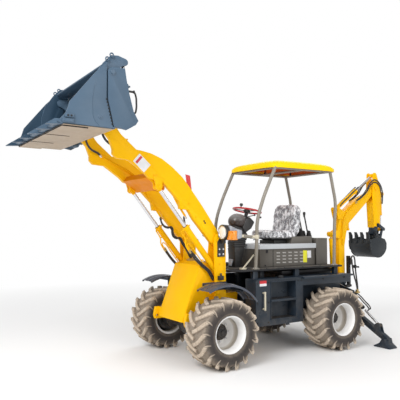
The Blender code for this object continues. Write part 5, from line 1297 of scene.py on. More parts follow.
def welded_plates():
    """The plate work of the frame with rolled edges."""
    # the arms' inner faces and cross beam get the painted shade orange
    refined("loader_arms", 0.003, second=(ARM_PAINTED_SHADE, lambda spot, way: abs(spot.y) < 0.290))
    refined("stick", 0.003, second=(CHASSIS_NAVY, lambda spot, way: spot.z < 1.595), cut=at(-1.65, 0, 1.595))
    for tag in ("front_frame", "boom"):
        refined(tag, 0.003)
    for tag in ("side_box_left", "side_box_right", "rear_frame", "swing_post", "platform"):
        refined(tag, 0.003)
    # painted shade on the cheeks' inner faces and on the moldboard's front inside the bucket
    refined("bucket_clam", 0.0022, second=(BUCKET_PAINTED_SHADE, lambda spot, way: way.y * spot.y < 0 and abs(way.y) > 0.7))
    refined("bucket_back", 0.0022, second=(BUCKET_PAINTED_SHADE, lambda spot, way: way.x > 0.5 and abs(spot.y) < 0.75))
    for tag in ("hoe_guide_link", "hoe_bucket_link", "engine_hood"):
        refined(tag, 0.0022)
    for tag in ("stabilizer_leg_left", "stabilizer_leg_right", "front_axle", "rear_axle"):
        refined(tag, 0.0025)
    refined(
        "hoe_bucket", 0.0025, finish=DIG_GREY,
        squash=(lambda spot: spot.z > 1.402 and spot.x + MID_X > -1.42, at(-1.337, 0, 1.400))
    )


def cylinder(tags, base, eye, across, sizes, paint, bodies):
    """A hydraulic cylinder: barrel with gland, wiper and ports, polished rod and eye, each turned about its axis."""
    barrel_l, wide, thin, base_half, eye_half, eye_r, rod_l = sizes
    base, eye, across = Vector(base), Vector(eye), Vector(across)
    way = (eye - base).normalized()
    out = way.cross(across)
    cup = max(eye_r, wide * 0.95)

    def spot(run, reach, aside=0.0):
        return base + way * run + out * reach + across * aside

    least = cup + 0.008
    runs = [(cup * 0.6, 0.0004), (cup * 0.6, wide * 0.92), (cup * 0.6 + 0.008, wide), (cup + 0.022, wide)]
    runs += [(cup + 0.024, wide * 1.05), (cup + 0.032, wide * 1.05), (cup + 0.034, wide), (barrel_l - 0.046, wide)]
    runs += [
        (barrel_l - 0.044, wide * 1.10), (barrel_l - 0.006, wide * 1.12), (barrel_l, wide * 1.06),
        (barrel_l, thin + 0.0062)
    ]
    runs += [
        (barrel_l - 0.004, thin + 0.006), (barrel_l - 0.004, thin + 0.0008), (least, thin + 0.0008), (least, 0.0004)
    ]
    shell = spun("barrel", [spot(run, reach) for run, reach in runs], base, 40, way)
    pin_r = eye_r * 0.45 + 0.0008
    ring = [(pin_r, -base_half), (cup - 0.003, -base_half), (cup, 0.003 - base_half), (cup, base_half - 0.003)]
    ring += [(cup - 0.003, base_half), (pin_r, base_half), (pin_r, -base_half)]
    boss = spun("base_boss", [spot(0, reach, aside) for reach, aside in ring], base, 32, across)
    ports = []
    for run in (cup + 0.045, barrel_l - 0.026):
        ports.append(rod("port", spot(run, wide * 0.7), spot(run, wide + 0.012), 0.0125, 6))
        ports.append(rod("port_nut", spot(run, wide + 0.012), spot(run, wide + 0.022), 0.0095, 6))
    barrel = assembled(tags[0] + "_detail", [shell, boss, *ports], 35)
    wear(barrel, paint[0], bodies[0], (tags[0],))
    wiper = spun(
        tags[0] + "_wiper",
        [spot(barrel_l + run, reach) for run, reach in (
            (-0.003, thin + 0.0006), (0.003, thin + 0.0006), (0.004, thin + 0.003), (0.001, thin + 0.0058),
            (-0.003, thin + 0.0058), (-0.003, thin + 0.0006)
        )],
        base, 32, way
    )
    wear(smooth(wiper, 40), BLACK_PLASTIC, bodies[0])
    length = (eye - base).length
    stem = rod(tags[1] + "_detail", spot(length - rod_l, 0), spot(length - eye_r * 0.7, 0), thin, 40)
    wear(smooth(stem, 40), CHROME, bodies[1], replaces=(tags[1],))
    ring = [(0.0004, -eye_half), (eye_r - 0.003, -eye_half), (eye_r, 0.003 - eye_half), (eye_r, eye_half - 0.003)]
    ring += [(eye_r - 0.003, eye_half), (0.0004, eye_half)]
    end = spun("rod_eye", [eye + out * reach + across * aside for reach, aside in ring], eye, 32, across)
    collar = rod(
        "eye_collar", spot(length - eye_r * 1.75, 0), spot(length - eye_r * 0.7, 0), thin + 0.001, 32, thin * 1.35
    )
    wear(assembled(tags[1] + "_eye", [end, collar], 35), paint[1], bodies[1])


def cylinders():
    """Every cylinder of the machine but the steering one, from the ends of its pins."""
    yellow, slate, navy = (LOADER_YELLOW, LOADER_YELLOW), (BUCKET_SLATE, SHOP_BLACK), (SHOP_BLACK, SHOP_BLACK)
    along = (0, 1, 0)
    for side, tag in SIDES:
        y = side * 0.335
        sizes = (0.775, 0.036, 0.021, 0.0444, 0.0209, 0.0342, 0.7818)
        cylinder(
            ("lift_barrel_" + tag, "lift_rod_" + tag), at(1.590, y, 0.985), in_plane(LIFT_EYE, y), along, sizes,
            yellow, ("lift_barrels", "lift_rods")
        )
        y = side * 0.730
        sizes = (0.390, 0.026, 0.015, 0.0314, 0.018, 0.0247, 0.3963)
        cylinder(
            ("clam_barrel_" + tag, "clam_rod_" + tag), at(2.972, y, 2.640), at(3.072, y, 3.229), along, sizes, slate,
            ("clam_barrels", "clam_rods")
        )
        sizes = (0.285, 0.026, 0.0155, 0.0325, 0.0290, 0.0247, 0.2893)
        cylinder(
            ("stabilizer_barrel_" + tag, "stabilizer_rod_" + tag),
            at(-0.600, side * 0.440, 0.640), at(-0.600, side * 0.930, 0.270), (1, 0, 0), sizes, navy, (
                "leg_barrel_" + tag, "leg_rod_" + tag
            ),
        )
    cylinder(
        ("tilt_barrel", "tilt_rod"), at(2.240, 0, 2.050), at(3.050, 0, 2.930), along,
        (0.720, 0.040, 0.024, 0.040, 0.030, 0.038, 0.760), yellow, ("tilt_barrel", "tilt_rod")
    )
    cylinder(
        ("boom_barrel", "boom_rod"), in_plane(BOOM_BASE), in_plane(BOOM_EYE), along,
        (0.535, 0.033, 0.0195, 0.060, 0.030, 0.0314, 0.5526), yellow, ("boom_barrel", "boom_rod")
    )
    cylinder(
        ("stick_barrel", "stick_rod"), in_plane(STICK_BASE), in_plane(STICK_EYE), along,
        (0.560, 0.033, 0.0195, 0.033, 0.030, 0.0314, 0.6846), yellow, ("stick_barrel", "stick_rod")
    )
    cylinder(
        ("hoe_barrel", "hoe_rod"), in_plane(HOE_BASE), at(-1.840, 0, 1.550), along,
        (0.345, 0.030, 0.017, 0.030, 0.028, 0.0285, 0.3505), yellow, ("hoe_barrel", "hoe_rod")
    )


def headlamps():
    """Round lamps on the towers: dished shell, glass in a bright bezel, wrap-round amber lens, a bolted plate below."""
    for side, tag in SIDES:
        def turned(name, rows, steps=40):
            return smooth(
                spun(
                    name, [at(x, side * 0.490, 1.515 + r) for x, r in rows], at(0, side * 0.490, 1.515), steps,
                    (1, 0, 0)
                ),
                40
            )

        bowl = turned(
            "lamp_bowl",
            [
                (1.500, 0.0004), (1.502, 0.040), (1.525, 0.072), (1.562, 0.088), (1.655, 0.0940), (1.660, 0.0930),
                (1.662, 0.088), (1.658, 0.080), (1.636, 0.077), (1.634, 0.0004)
            ]
        )
        plate_low = cutout(
            "lamp_plate",
            side_view(
                side * 0.4055, (1.565, 1.225), (1.670, 1.225), (1.670, 1.400), (1.645, 1.445), (1.600, 1.450),
                (1.565, 1.400)
            ),
            (0, side * 0.0100, 0)
        )
        soften(plate_low, 0.002)
        stalk = side_block("lamp_stalk", side, (1.592, 0.402, 1.385), (1.630, 0.470, 1.438))
        body = assembled("headlamp_body_" + tag, [bowl, plate_low, soften(stalk, 0.004)], 40)
        wear(body, BLACK_PLASTIC, "front_body", replaces=("headlamp_" + tag,))
        shell = side_block("lamp_shell", side, (1.486, 0.470, 1.448), (1.612, 0.592, 1.592))
        choose(shell, facing(-1, 0, 0))
        bpy.ops.transform.resize(value=(1, 0.8, 0.62))
        bpy.ops.transform.translate(value=(0, 0, -0.020))
        done()
        choose(shell, lambda middle, normal: normal.z > 0.8)
        bpy.ops.mesh.inset(thickness=0.016)
        bpy.ops.transform.translate(value=(0, 0, 0.005))
        done()
        soften(shell, 0.016, 4, 30)
        wing = side_block("lamp_wing", side, (1.500, 0.560, 1.436), (1.574, 0.684, 1.556))
        resized(wing, facing(-1, 0, 0), (1, 0.8, 0.75))
        soften(wing, 0.012, 3, 30)
        wear(assembled("lamp_shell_" + tag, [shell, wing], 40), LAMP_GREY, "front_body")
        bezel = turned(
            "lamp_bezel_" + tag,
            [
                (1.650, 0.0700), (1.660, 0.0705), (1.667, 0.0750), (1.667, 0.0790), (1.660, 0.0830), (1.650, 0.0830),
                (1.650, 0.0700)
            ]
        )
        wear(bezel, CHROME, "front_body")
        glass = turned(
            "lamp_glass_" + tag,
            [
                (1.642, 0.0004), (1.642, 0.0725), (1.656, 0.0720), (1.662, 0.060), (1.666, 0.040), (1.668, 0.020),
                (1.6685, 0.0004)
            ]
        )
        wear(glass, LAMP_GLASS, "front_body")
        amber = side_block("turn_lens_" + tag, side, (1.566, 0.548, 1.428), (1.634, 0.664, 1.534))
        stepped(amber, facing(1, 0, 0), 0.010, (0.006, 0, 0))
        stepped(amber, facing(0, side, 0), 0.012, (0, side * 0.003, 0))
        wear(smooth(soften(amber, 0.014, 4, 30), 40), AMBER, "front_body")
        spots = side_view(side * 0.4157, (1.649, 1.316), (1.592, 1.316), (1.649, 1.255), (1.592, 1.255))
        bolt_row("lamp_bolts_" + tag, spots, (0, side, 0), 0.0085, CHROME, "front_body")


def front_fenders():
    """Pressed guards over the front wheels: a ribbed section swept over the tyre, on arms bolted to the towers."""
    ribs = [
        (0.550, 0.520), (0.550, 0.539), (0.556, 0.545), (0.604, 0.5455), (0.612, 0.552), (0.626, 0.552),
        (0.634, 0.5455)
    ]
    ribs += [
        (0.694, 0.5455), (0.702, 0.552), (0.716, 0.552), (0.724, 0.5455), (0.790, 0.545), (0.799, 0.540),
        (0.800, 0.520)
    ]
    start, turn = math.radians(62), math.radians(80)
    for side, tag in SIDES:
        points = [at(
            AXLE_X["front"] + (r - 0.002) * math.cos(start), side * y,
            WHEEL_R + (r - 0.002) * math.sin(start)
        ) for y, r in ribs]
        sheet = wire("fender_sheet", points)
        choose(sheet, everything, "VERT")
        bpy.ops.mesh.spin(steps=28, angle=turn, center=at(AXLE_X["front"], 0, WHEEL_R), axis=(0, 1, 0))
        bpy.ops.mesh.select_all(action="SELECT")
        bpy.ops.mesh.remove_doubles(threshold=0.0002)
        bpy.ops.mesh.normals_make_consistent(inside=False)
        done()
        modify(sheet, "SOLIDIFY", thickness=0.004, offset=0)
        wear(smooth(soften(sheet, 0.0015, 2, 60), 50), FENDER_SLATE, "front_body", replaces=("fender_" + tag,))
        arms = []
        for degrees in (84, 118):
            x = AXLE_X["front"] + 0.540 * math.cos(math.radians(degrees))
            z = WHEEL_R + 0.534 * math.sin(math.radians(degrees))
            arms.append(side_block("fender_arm", side, (x - 0.020, 0.4003, z - 0.034), (x + 0.020, 0.720, z - 0.006)))
        arms.append(side_block("fender_foot", side, (1.533, 0.4003, 0.833), (1.886, 0.412, 0.927)))
        wear(assembled("fender_arms_" + tag, arms, 40, 0.003), CHASSIS_NAVY, "front_body")
        spots = [at(x, side * 0.412, z) for x in (1.575, 1.850) for z in (0.852, 0.908)]
        bolt_row("fender_bolts_" + tag, spots, (0, side, 0), 0.009, SHOP_BLACK, "front_body")


def canopy():
    """Posts and roof frame of round tube, bent cold: smooth curves through the places of the frame's own tubes."""
    front = [(1.126, 1.057), (1.103, 1.428), (1.091, 1.650), (1.007, 1.908), (0.899, 2.139), (0.790, 2.355)]
    rear = [(-0.268, 1.057), (-0.292, 1.660), (-0.310, 1.910), (-0.264, 2.140), (-0.211, 2.355)]
    tubes = []
    for side in (1, -1):
        for route in (front, rear):
            tubes.append(pipe("post", side_view(side * POST_Y, *route), 0.0215, sides=16))
            x = route[0][0]
            foot = block(
                "post_foot", at(x - 0.045, side * 0.4415 - 0.0365, 1.0553),
                at(x + 0.045, side * 0.4415 + 0.0365, 1.067)
            )
            tubes.append(soften(foot, 0.003))
            collar = rod(
                "post_collar", at(x, side * POST_Y, 1.066), at(x - 0.0005, side * POST_Y, 1.080), 0.030, 24, 0.0245
            )
            tubes.append(collar)
        tubes.append(rod("roof_rail", at(0.800, side * POST_Y, RAIL_Z), at(-0.221, side * POST_Y, RAIL_Z), 0.018, 20))
    for x in (0.790, 0.290, -0.211):
        tubes.append(rod("roof_rail", at(x, -0.450, RAIL_Z), at(x, 0.450, RAIL_Z), 0.018, 20))
    tubes.append(pipe(
        "rail_core",
        [
            at(1.100, -0.450, 1.455), at(1.330, -0.400, 1.470), at(1.385, 0, 1.475),
            at(1.330, 0.400, 1.470), at(1.100, 0.450, 1.455)
        ],
        0.016
    ))
    wear(assembled("canopy_tubes", tubes, 50), POST_GREY, "rear_body", replaces=("canopy_frame",))
    spots = []
    for x in (1.126, -0.268):
        for side in (1, -1):
            spots += [at(x + dx, side * POST_Y + dy, 1.067) for dx, dy in ((0.034, 0), (-0.034, 0))]
    bolt_row("post_bolts", spots, (0, 0, 1), 0.007, CHROME, "rear_body")


def arm_trim():
    """On the loader arms: blank plate with its red band, the red safety prop inside the near arm, pin heads, bolts."""
    corners = [(2.690, 2.388), (2.553, 2.270), (2.634, 2.181), (2.769, 2.299)]
    label = cutout("arm_plate", side_view(0.3662, *corners), (0, 0.0016, 0))
    wear(smooth(soften(label, 0.0004, 1), 30), LABEL_WHITE, "arms")
    upper = [(2.676, 2.366), (2.742, 2.292), (2.720, 2.273), (2.654, 2.347)]
    band = cutout("arm_plate_band", side_view(0.3674, *upper), (0, 0.0012, 0))
    wear(smooth(band, 30), LABEL_RED, "arms")
    prop = cutout(
        "arm_prop", side_view(0.2995, (2.055, 2.200), (1.992, 2.186), (1.918, 1.618), (1.978, 1.690)), (0, 0.006, 0)
    )
    choose(prop, lambda middle, normal: abs(normal.y) > 0.9)
    bpy.ops.mesh.inset(thickness=0.008)
    bpy.ops.transform.resize(value=(1, 0.8, 1))
    done()
    wear(smooth(soften(prop, 0.0012), 30), SAFETY_RED, "arms")
    for side, tag in SIDES:
        for x, z, reach, half in (
            (1.630, 1.420, 0.402, 0.030), (3.100, 2.660, 0.396, 0.026), (*LIFT_EYE, 0.376, 0.022)
        ):
            body_y = side * reach
            disc = rod("pin_head", at(x, body_y - side * 0.004, z), at(x, body_y + side * 0.004, z), half, 28)
            stepped(disc, facing(0, side, 0), half * 0.30, (0, -side * 0.002, 0))
            owner = "front_body" if x < 1.7 else ("bucket" if x > 3 else "arms")
            made = smooth(soften(disc, 0.0012), 35)
            made.name = "pin_head_" + {"front_body": "tower", "bucket": "bucket", "arms": "lift"}[owner] + "_" + tag
            wear(made, LOADER_YELLOW if owner != "bucket" else BUCKET_SLATE, owner)
        spots = side_view(side * 0.365, (2.470, 2.172), (2.506, 2.160), (2.440, 2.132), (2.052, 1.858), (1.950, 1.700))
        bolt_row("arm_bolts_" + tag, spots, (0, side, 0), 0.008, LOADER_YELLOW, "arms")
        clips = [rod(
            "clip", at(x, side * 0.3652, z), at(x, side * 0.370, z), 0.010, 16
        ) for x, z in ((1.836, 1.650), (1.822, 1.628))]
        wear(assembled("arm_clips_" + tag, clips, 30, 0.001), SHOP_BLACK, "arms")


def lift_lines():
    """Pipes and hoses of the lift cylinders: they leave the ports, run beside the barrel and drop into the towers."""
    way, out = Vector((0.632, 0, 0.775)), Vector((0.775, 0, -0.632))
    for side, tag in SIDES:
        base = at(1.590, side * 0.300, 0.985)

        def spot(run, reach, aside=0.0):
            return base + way * run + out * reach + Vector((0, side * aside, 0))

        pipes = [
            pipe(
                "pipe",
                [
                    spot(0.749, 0.040, 0.035), spot(0.752, 0.058, 0.015), spot(0.735, 0.066), spot(0.690, 0.068),
                    spot(0.640, 0.078), spot(0.590, 0.112), spot(0.545, 0.122), spot(0.500, 0.122)
                ],
                0.0075
            ),
            pipe(
                "pipe",
                [
                    spot(0.090, 0.040, 0.030), spot(0.120, 0.056, 0.010), spot(0.190, 0.064), spot(0.300, 0.066),
                    spot(0.414, 0.066), spot(0.520, 0.062), spot(0.562, 0.070), spot(0.580, 0.088), spot(0.566, 0.104),
                    spot(0.500, 0.104)
                ],
                0.0065
            ),
        ]
        clamp = block("pipe_clamp", at(0, 0, 0), at(0.030, 0.030, 0.012))
        stepped(clamp, facing(0, 0, 1), 0.005, (0, 0, 0.002))
        for run in (0.300, 0.640):
            pipes.append(again(clamp, spot(run, 0.052) - at(0.015, 0.015, 0.006)))
        bpy.data.objects.remove(clamp)
        wear(assembled("lift_pipes_" + tag, pipes, 50), LOADER_YELLOW, "lift_barrels")
        fittings = []
        for reach in (0.122, 0.104):
            fittings.append(rod("fitting", spot(0.512, reach), spot(0.494, reach), 0.0125, 6))
            fittings.append(rod("fitting", spot(0.496, reach), spot(0.470, reach), 0.0115, 20))
        wear(assembled("lift_fittings_" + tag, fittings, 35), BRASS, "lift_barrels")
        runs = []
        for reach, aside in ((0.122, 0.0), (0.104, 0.012)):
            runs.append(pipe(
                "line",
                [
                    spot(0.486, reach, aside * 0.2), spot(0.430, reach, aside),
                    spot(0.330, reach - 0.004, aside + 0.008), spot(0.240, reach - 0.018, aside + 0.020),
                    spot(0.150, reach - 0.035, aside + 0.026), spot(0.080, reach - 0.028, aside + 0.026),
                    spot(0.020, reach - 0.024, aside + 0.026)
                ],
                0.0105
            ))
        wear(assembled("lift_hoses_" + tag, runs, 60), HOSE, "lift_barrels")


def arm_lines():
    """Hoses from the front frame to the arms, along their inner sides, and on to the bucket."""
    for side, tag in reversed(SIDES):
        loops = []
        for dy, dz in ((0.0, 0.0), (0.028, 0.010)):
            y = side * (0.205 - dy)
            route = (
                (1.665, 1.180), (1.740, 1.300), (1.800, 1.380), (1.834, 1.432), (1.885, 1.436), (1.926, 1.462),
                (1.944, 1.505), (1.950, 1.552), (1.972, 1.572), (2.004, 1.568)
            )
            loops.append(pipe(
                "loop",
                [at(x, y, z + dz) for x, z in route] + [
                    at(2.040, side * 0.262, 1.600 + dz), at(2.070, side * 0.288, 1.690 + dz)
                ],
                0.0095
            ))
        loop = assembled("arm_hoses_" + tag, loops, 60)
        wear(loop, HOSE, "front_body", bend=("arms", at(1.70, 0, 1.25), at(1.98, 0, 1.60)))
        steel = []
        for offset in (0.0, 0.020):
            steel.append(pipe(
                "arm_pipe",
                sided(
                    side, (2.050, 0.294, 1.690 + offset), (2.160, 0.296, 1.840 + offset),
                    (2.330, 0.296, 2.110 + offset), (2.480, 0.296, 2.235 + offset),
                    (2.680, 0.296, 2.330 + offset), (2.830, 0.296, 2.400 + offset),
                    (2.878, 0.290, 2.424 + offset * 0.4)
                ),
                0.007, 6
            ))
        wear(assembled("arm_pipes_" + tag, steel, 60), LOADER_YELLOW, "arms")
        nuts = [
            rod("union", at(2.866, side * 0.288, 2.412), at(2.892, side * 0.282, 2.432), 0.014, 6),
            rod("union", at(2.040, side * 0.290, 1.678), at(2.062, side * 0.292, 1.710), 0.0135, 6)
        ]
        wear(assembled("arm_unions_" + tag, nuts, 30), CHROME, "arms")
        feed = pipe(
            "bucket_hose_" + tag,
            sided(
                side, (2.884, 0.284, 2.427), (2.915, 0.278, 2.450), (2.960, 0.270, 2.466), (3.010, 0.262, 2.490),
                (3.060, 0.250, 2.545), (3.090, 0.240, 2.640), (3.120, 0.240, 2.760), (3.140, 0.240, 2.850)
            ),
            0.0125
        )
        wear(feed, HOSE, "arms", bend=("bucket", at(2.95, 0, 2.46), at(3.10, 0, 2.70)))


def bucket_trim():
    """On the split bucket: wear plates, spill guard, weld beads, side bosses, lifting eyes, clam cylinder hoses."""
    floor = block("bucket_floor_worn", at(3.188, -0.808, 2.5345), at(3.700, 0.808, 2.5366))
    choose(floor, facing(0, 0, -1))
    bpy.ops.mesh.subdivide(number_cuts=1)
    done()
    wear(soften(floor, 0.0006, 1), WORN_STEEL, "clam")
    for i, y in enumerate((-0.795, -0.265, 0.265)):
        wear_plate = block("wear_plate", at(3.440, y, 2.5230), at(3.700, y + 0.500, 2.5346))
        stepped(wear_plate, facing(0, 0, -1), 0.004)
        wear(smooth(soften(wear_plate, 0.0012, 1), 35), SHOP_BLACK, "clam").name = "wear_plate_" + str(i)
        wear_plate.data.materials.append(WORN_STEEL)
        for face in wear_plate.data.polygons:
            face.material_index = int(face.normal.z < -0.9)
    spill = cutout(
        "spill_guard",
        side_view(0, (3.110, 3.172), (3.262, 3.182), (3.274, 3.190), (3.276, 3.202), (3.262, 3.206), (3.106, 3.188)),
        (0, 1.488, 0)
    )
    wear(smooth(soften(spill, 0.003), 40), BUCKET_SLATE, "bucket")
    for side, tag in SIDES:
        edge = side * CHEEK_Y
        # painted shade: black dashes stand for the shade in the notches along the clam's joint edge
        notches = []
        for i in range(9):
            z = 2.575 + 0.030 * i
            x = 3.207 + (z - 2.552) * 0.2573
            notches.append(side_block("notch", side, (x - 0.010, CHEEK_Y, z), (x + 0.008, CHEEK_Y + 0.004, z + 0.014)))
        wear(assembled("cheek_notch_shade_" + tag, notches, 35, 0.0012, 1), SHOP_BLACK, "clam")
        rows = (
            (0.0004, 0.010), (0.010, 0.010), (0.012, 0.006), (0.022, 0.006), (0.0255, 0.003), (0.0255, 0), (0.0004, 0)
        )
        boss = pin_end("cheek_boss", side, (3.335, 2.641), CHEEK_Y - 0.002, rows, 28)
        rows = (
            (0.0004, 0.016), (0.020, 0.016), (0.023, 0.012), (0.023, 0.006), (0.033, 0.005), (0.034, 0), (0.0004, 0)
        )
        pivot = pin_end("cheek_pivot", side, CLAM_PIVOT, CHEEK_Y - 0.001, rows, 28)
        wear(smooth(boss, 35), BUCKET_SLATE, "clam").name = "cheek_boss_" + tag
        wear(smooth(pivot, 35), BUCKET_SLATE, "bucket").name = "cheek_pivot_" + tag
        route = [
            (3.389, 2.979), (3.410, 2.890), (3.419, 2.809), (3.418, 2.720), (3.410, 2.640), (3.385, 2.590),
            (3.348, 2.556)
        ]
        bead = pipe("cheek_weld_" + tag, side_view(edge + side * 0.0005, *route), 0.0028, 6, 8)
        wear(bead, BUCKET_SLATE, "clam")
        for name, low, high in (("upper", (3.602, 2.598), (3.690, 2.634)), ("lower", (3.602, 2.548), (3.716, 2.588))):
            pad = side_block("edge_pad", side, (low[0], CHEEK_Y, low[1]), (high[0], CHEEK_Y + 0.014, high[1]))
            stepped(pad, facing(0, side, 0), 0.006, (0, side * 0.002, 0))
            wear(smooth(soften(pad, 0.0025), 35), BUCKET_SLATE, "clam").name = "edge_pad_" + name + "_" + tag
        spots = side_view(edge + side * 0.016, (3.630, 2.616), (3.662, 2.616))
        bolt_row("edge_bolts_" + tag, spots, (0, side, 0), 0.0070, SHOP_BLACK, "clam")
        rows = [(0.013, -0.005), (0.018, -0.0075), (0.023, -0.005), (0.025, 0), (0.023, 0.005), (0.018, 0.0075)]
        rows += [(0.013, 0.005), (0.011, 0), (0.013, -0.005)]
        eyes = [pin_end(
            "lifting_eye", side, spot, CHEEK_Y - 0.008, rows, 20
        ) for spot in ((3.268, 3.226), (3.222, 3.272))]
        wear(assembled("lifting_eyes_" + tag, eyes, 50), BUCKET_SLATE, "clam")
        y = side * 0.730
        line = pipe(
            "clam_hose_" + tag,
            side_view(
                y, (2.962, 2.956), (2.938, 2.953), (2.920, 2.920), (2.912, 2.850), (2.914, 2.780), (2.926, 2.742),
                (2.945, 2.728)
            ),
            0.0095
        )
        wear(line, HOSE, "clam_barrels")
        unions = [
            rod("union", at(2.996, y, 2.957), at(2.946, y, 2.957), 0.0115, 6),
            rod("union", at(2.966, y, 2.726), at(2.932, y, 2.730), 0.0115, 6)
        ]
        unions += [
            rod("union", at(2.940, y, 2.943), at(2.940, y, 2.972), 0.0095, 12),
            rod("union", at(2.938, y, 2.742), at(2.938, y, 2.714), 0.0095, 12)
        ]
        wear(assembled("clam_unions_" + tag, unions, 35), SHOP_BLACK, "clam_barrels")
    teeth = []
    for i in range(6):
        y = 0.770 * (2 * i / 5 - 1)
        teeth.append(at(3.715, y - 0.016, 2.583))
        teeth.append(at(3.715, y + 0.016, 2.583))
    bolt_row("tooth_bolts", teeth, (0, 0, 1), 0.008, SHOP_BLACK, "clam")


def nose_trim():
    """Bolt heads of the front frame, the hose union block on the nose and the lamp plugs."""
    for side, tag in SIDES:
        spots = side_view(side * 0.4002, (1.600, 1.060), (1.660, 0.790), (1.600, 0.700), (1.640, 1.140))
        bolt_row("tower_bolts_" + tag, spots, (0, side, 0), 0.009, LOADER_YELLOW, "front_body")
        union = [
            rod("union", at(1.640, side * 0.200, 1.150), at(1.640, side * 0.200, 1.185), 0.018, 6),
            rod("union", at(1.690, side * 0.200, 1.150), at(1.690, side * 0.200, 1.182), 0.016, 6)
        ]
        union.append(side_block("valve", side, (1.615, 0.165, 1.1502), (1.712, 0.235, 1.166)))
        wear(assembled("nose_unions_" + tag, union, 35, 0.002), BRASS, "front_body")
        lamp_plug = side_block("lamp_plug", side, (1.600, 0.402, 0.950), (1.668, 0.440, 1.000))
        stepped(lamp_plug, facing(0, side, 0), 0.008, (0, side * 0.010, 0))
        tail = rod("plug_tail", at(1.634, side * 0.425, 0.985), at(1.634, side * 0.425, 1.030), 0.012, 14)
        wear(assembled("lamp_plug_" + tag, [lamp_plug, tail], 40, 0.003), BLACK_PLASTIC, "front_body")


def dig_lines():
    """Hoses and pipes of the digging arm: along the boom, over its elbow to the stick, beside the stick cylinder."""
    pair = []
    for y in (0.030, -0.030):
        pair.append(pipe(
            "line",
            side_view(
                y, (-0.870, 1.900), (-0.960, 1.972), (-1.060, 2.040), (-1.190, 2.136), (-1.300, 2.212)
            ),
            0.0095
        ))
    wear(assembled("stick_cylinder_hoses", pair, 60), HOSE, "stick_barrel")
    arcs = []
    for y, lift in ((0.074, 0.030), (0.074, -0.010), (-0.074, 0.030), (-0.074, -0.010)):
        arcs.append(pipe(
            "line",
            [
                at(-1.200, y, 1.990 + lift * 0.3), at(-1.330, y, 2.060 + lift * 0.5),
                at(-1.440, y, 2.150 + lift), at(-1.540, y, 2.262 + lift), at(-1.640, y, 2.310 + lift),
                at(-1.740, y, 2.270 + lift), at(-1.800 - lift, y * 0.9, 2.160),
                at(-1.812 - lift, y * 0.8, 2.050), at(-1.806 - lift, y * 0.75, 1.960)
            ],
            0.0095
        ))
    arc_set = assembled("elbow_hoses", arcs, 60)
    wear(arc_set, HOSE, "boom", bend=("stick", at(-1.48, 0, 2.20), at(-1.76, 0, 2.22)))
    steel = []
    for y in (0.052, -0.052):
        steel.append(pipe(
            "pipe",
            side_view(
                y, (-0.880, 1.310), (-0.884, 1.560), (-0.930, 1.760), (-1.060, 1.880), (-1.200, 1.985)
            ),
            0.0065
        ))
        steel.append(pipe(
            "pipe",
            side_view(
                y, (-0.900, 1.310), (-0.906, 1.550), (-0.950, 1.740), (-1.075, 1.860), (-1.205, 1.962)
            ),
            0.0065
        ))
    for y in (0.052, -0.052):
        for x, z in ((-0.890, 1.420), (-1.000, 1.820)):
            clip = block("pipe_clip", at(x - 0.026, y - 0.009, z - 0.012), at(x + 0.026, y + 0.009, z + 0.012))
            stepped(clip, lambda middle, normal: abs(normal.y) > 0.9, 0.004)
            steel.append(soften(clip, 0.002))
    wear(assembled("boom_pipes", steel, 50), LOADER_YELLOW, "boom")
    nuts = []
    for y in (0.058, -0.058):
        for x, z in ((-1.204, 1.988), (-1.208, 1.965)):
            nuts.append(rod("union", at(x + 0.020, y, z - 0.016), at(x - 0.014, y * 1.15, z + 0.006), 0.0118, 6))
    wear(assembled("boom_unions", nuts, 30), BRASS, "boom")


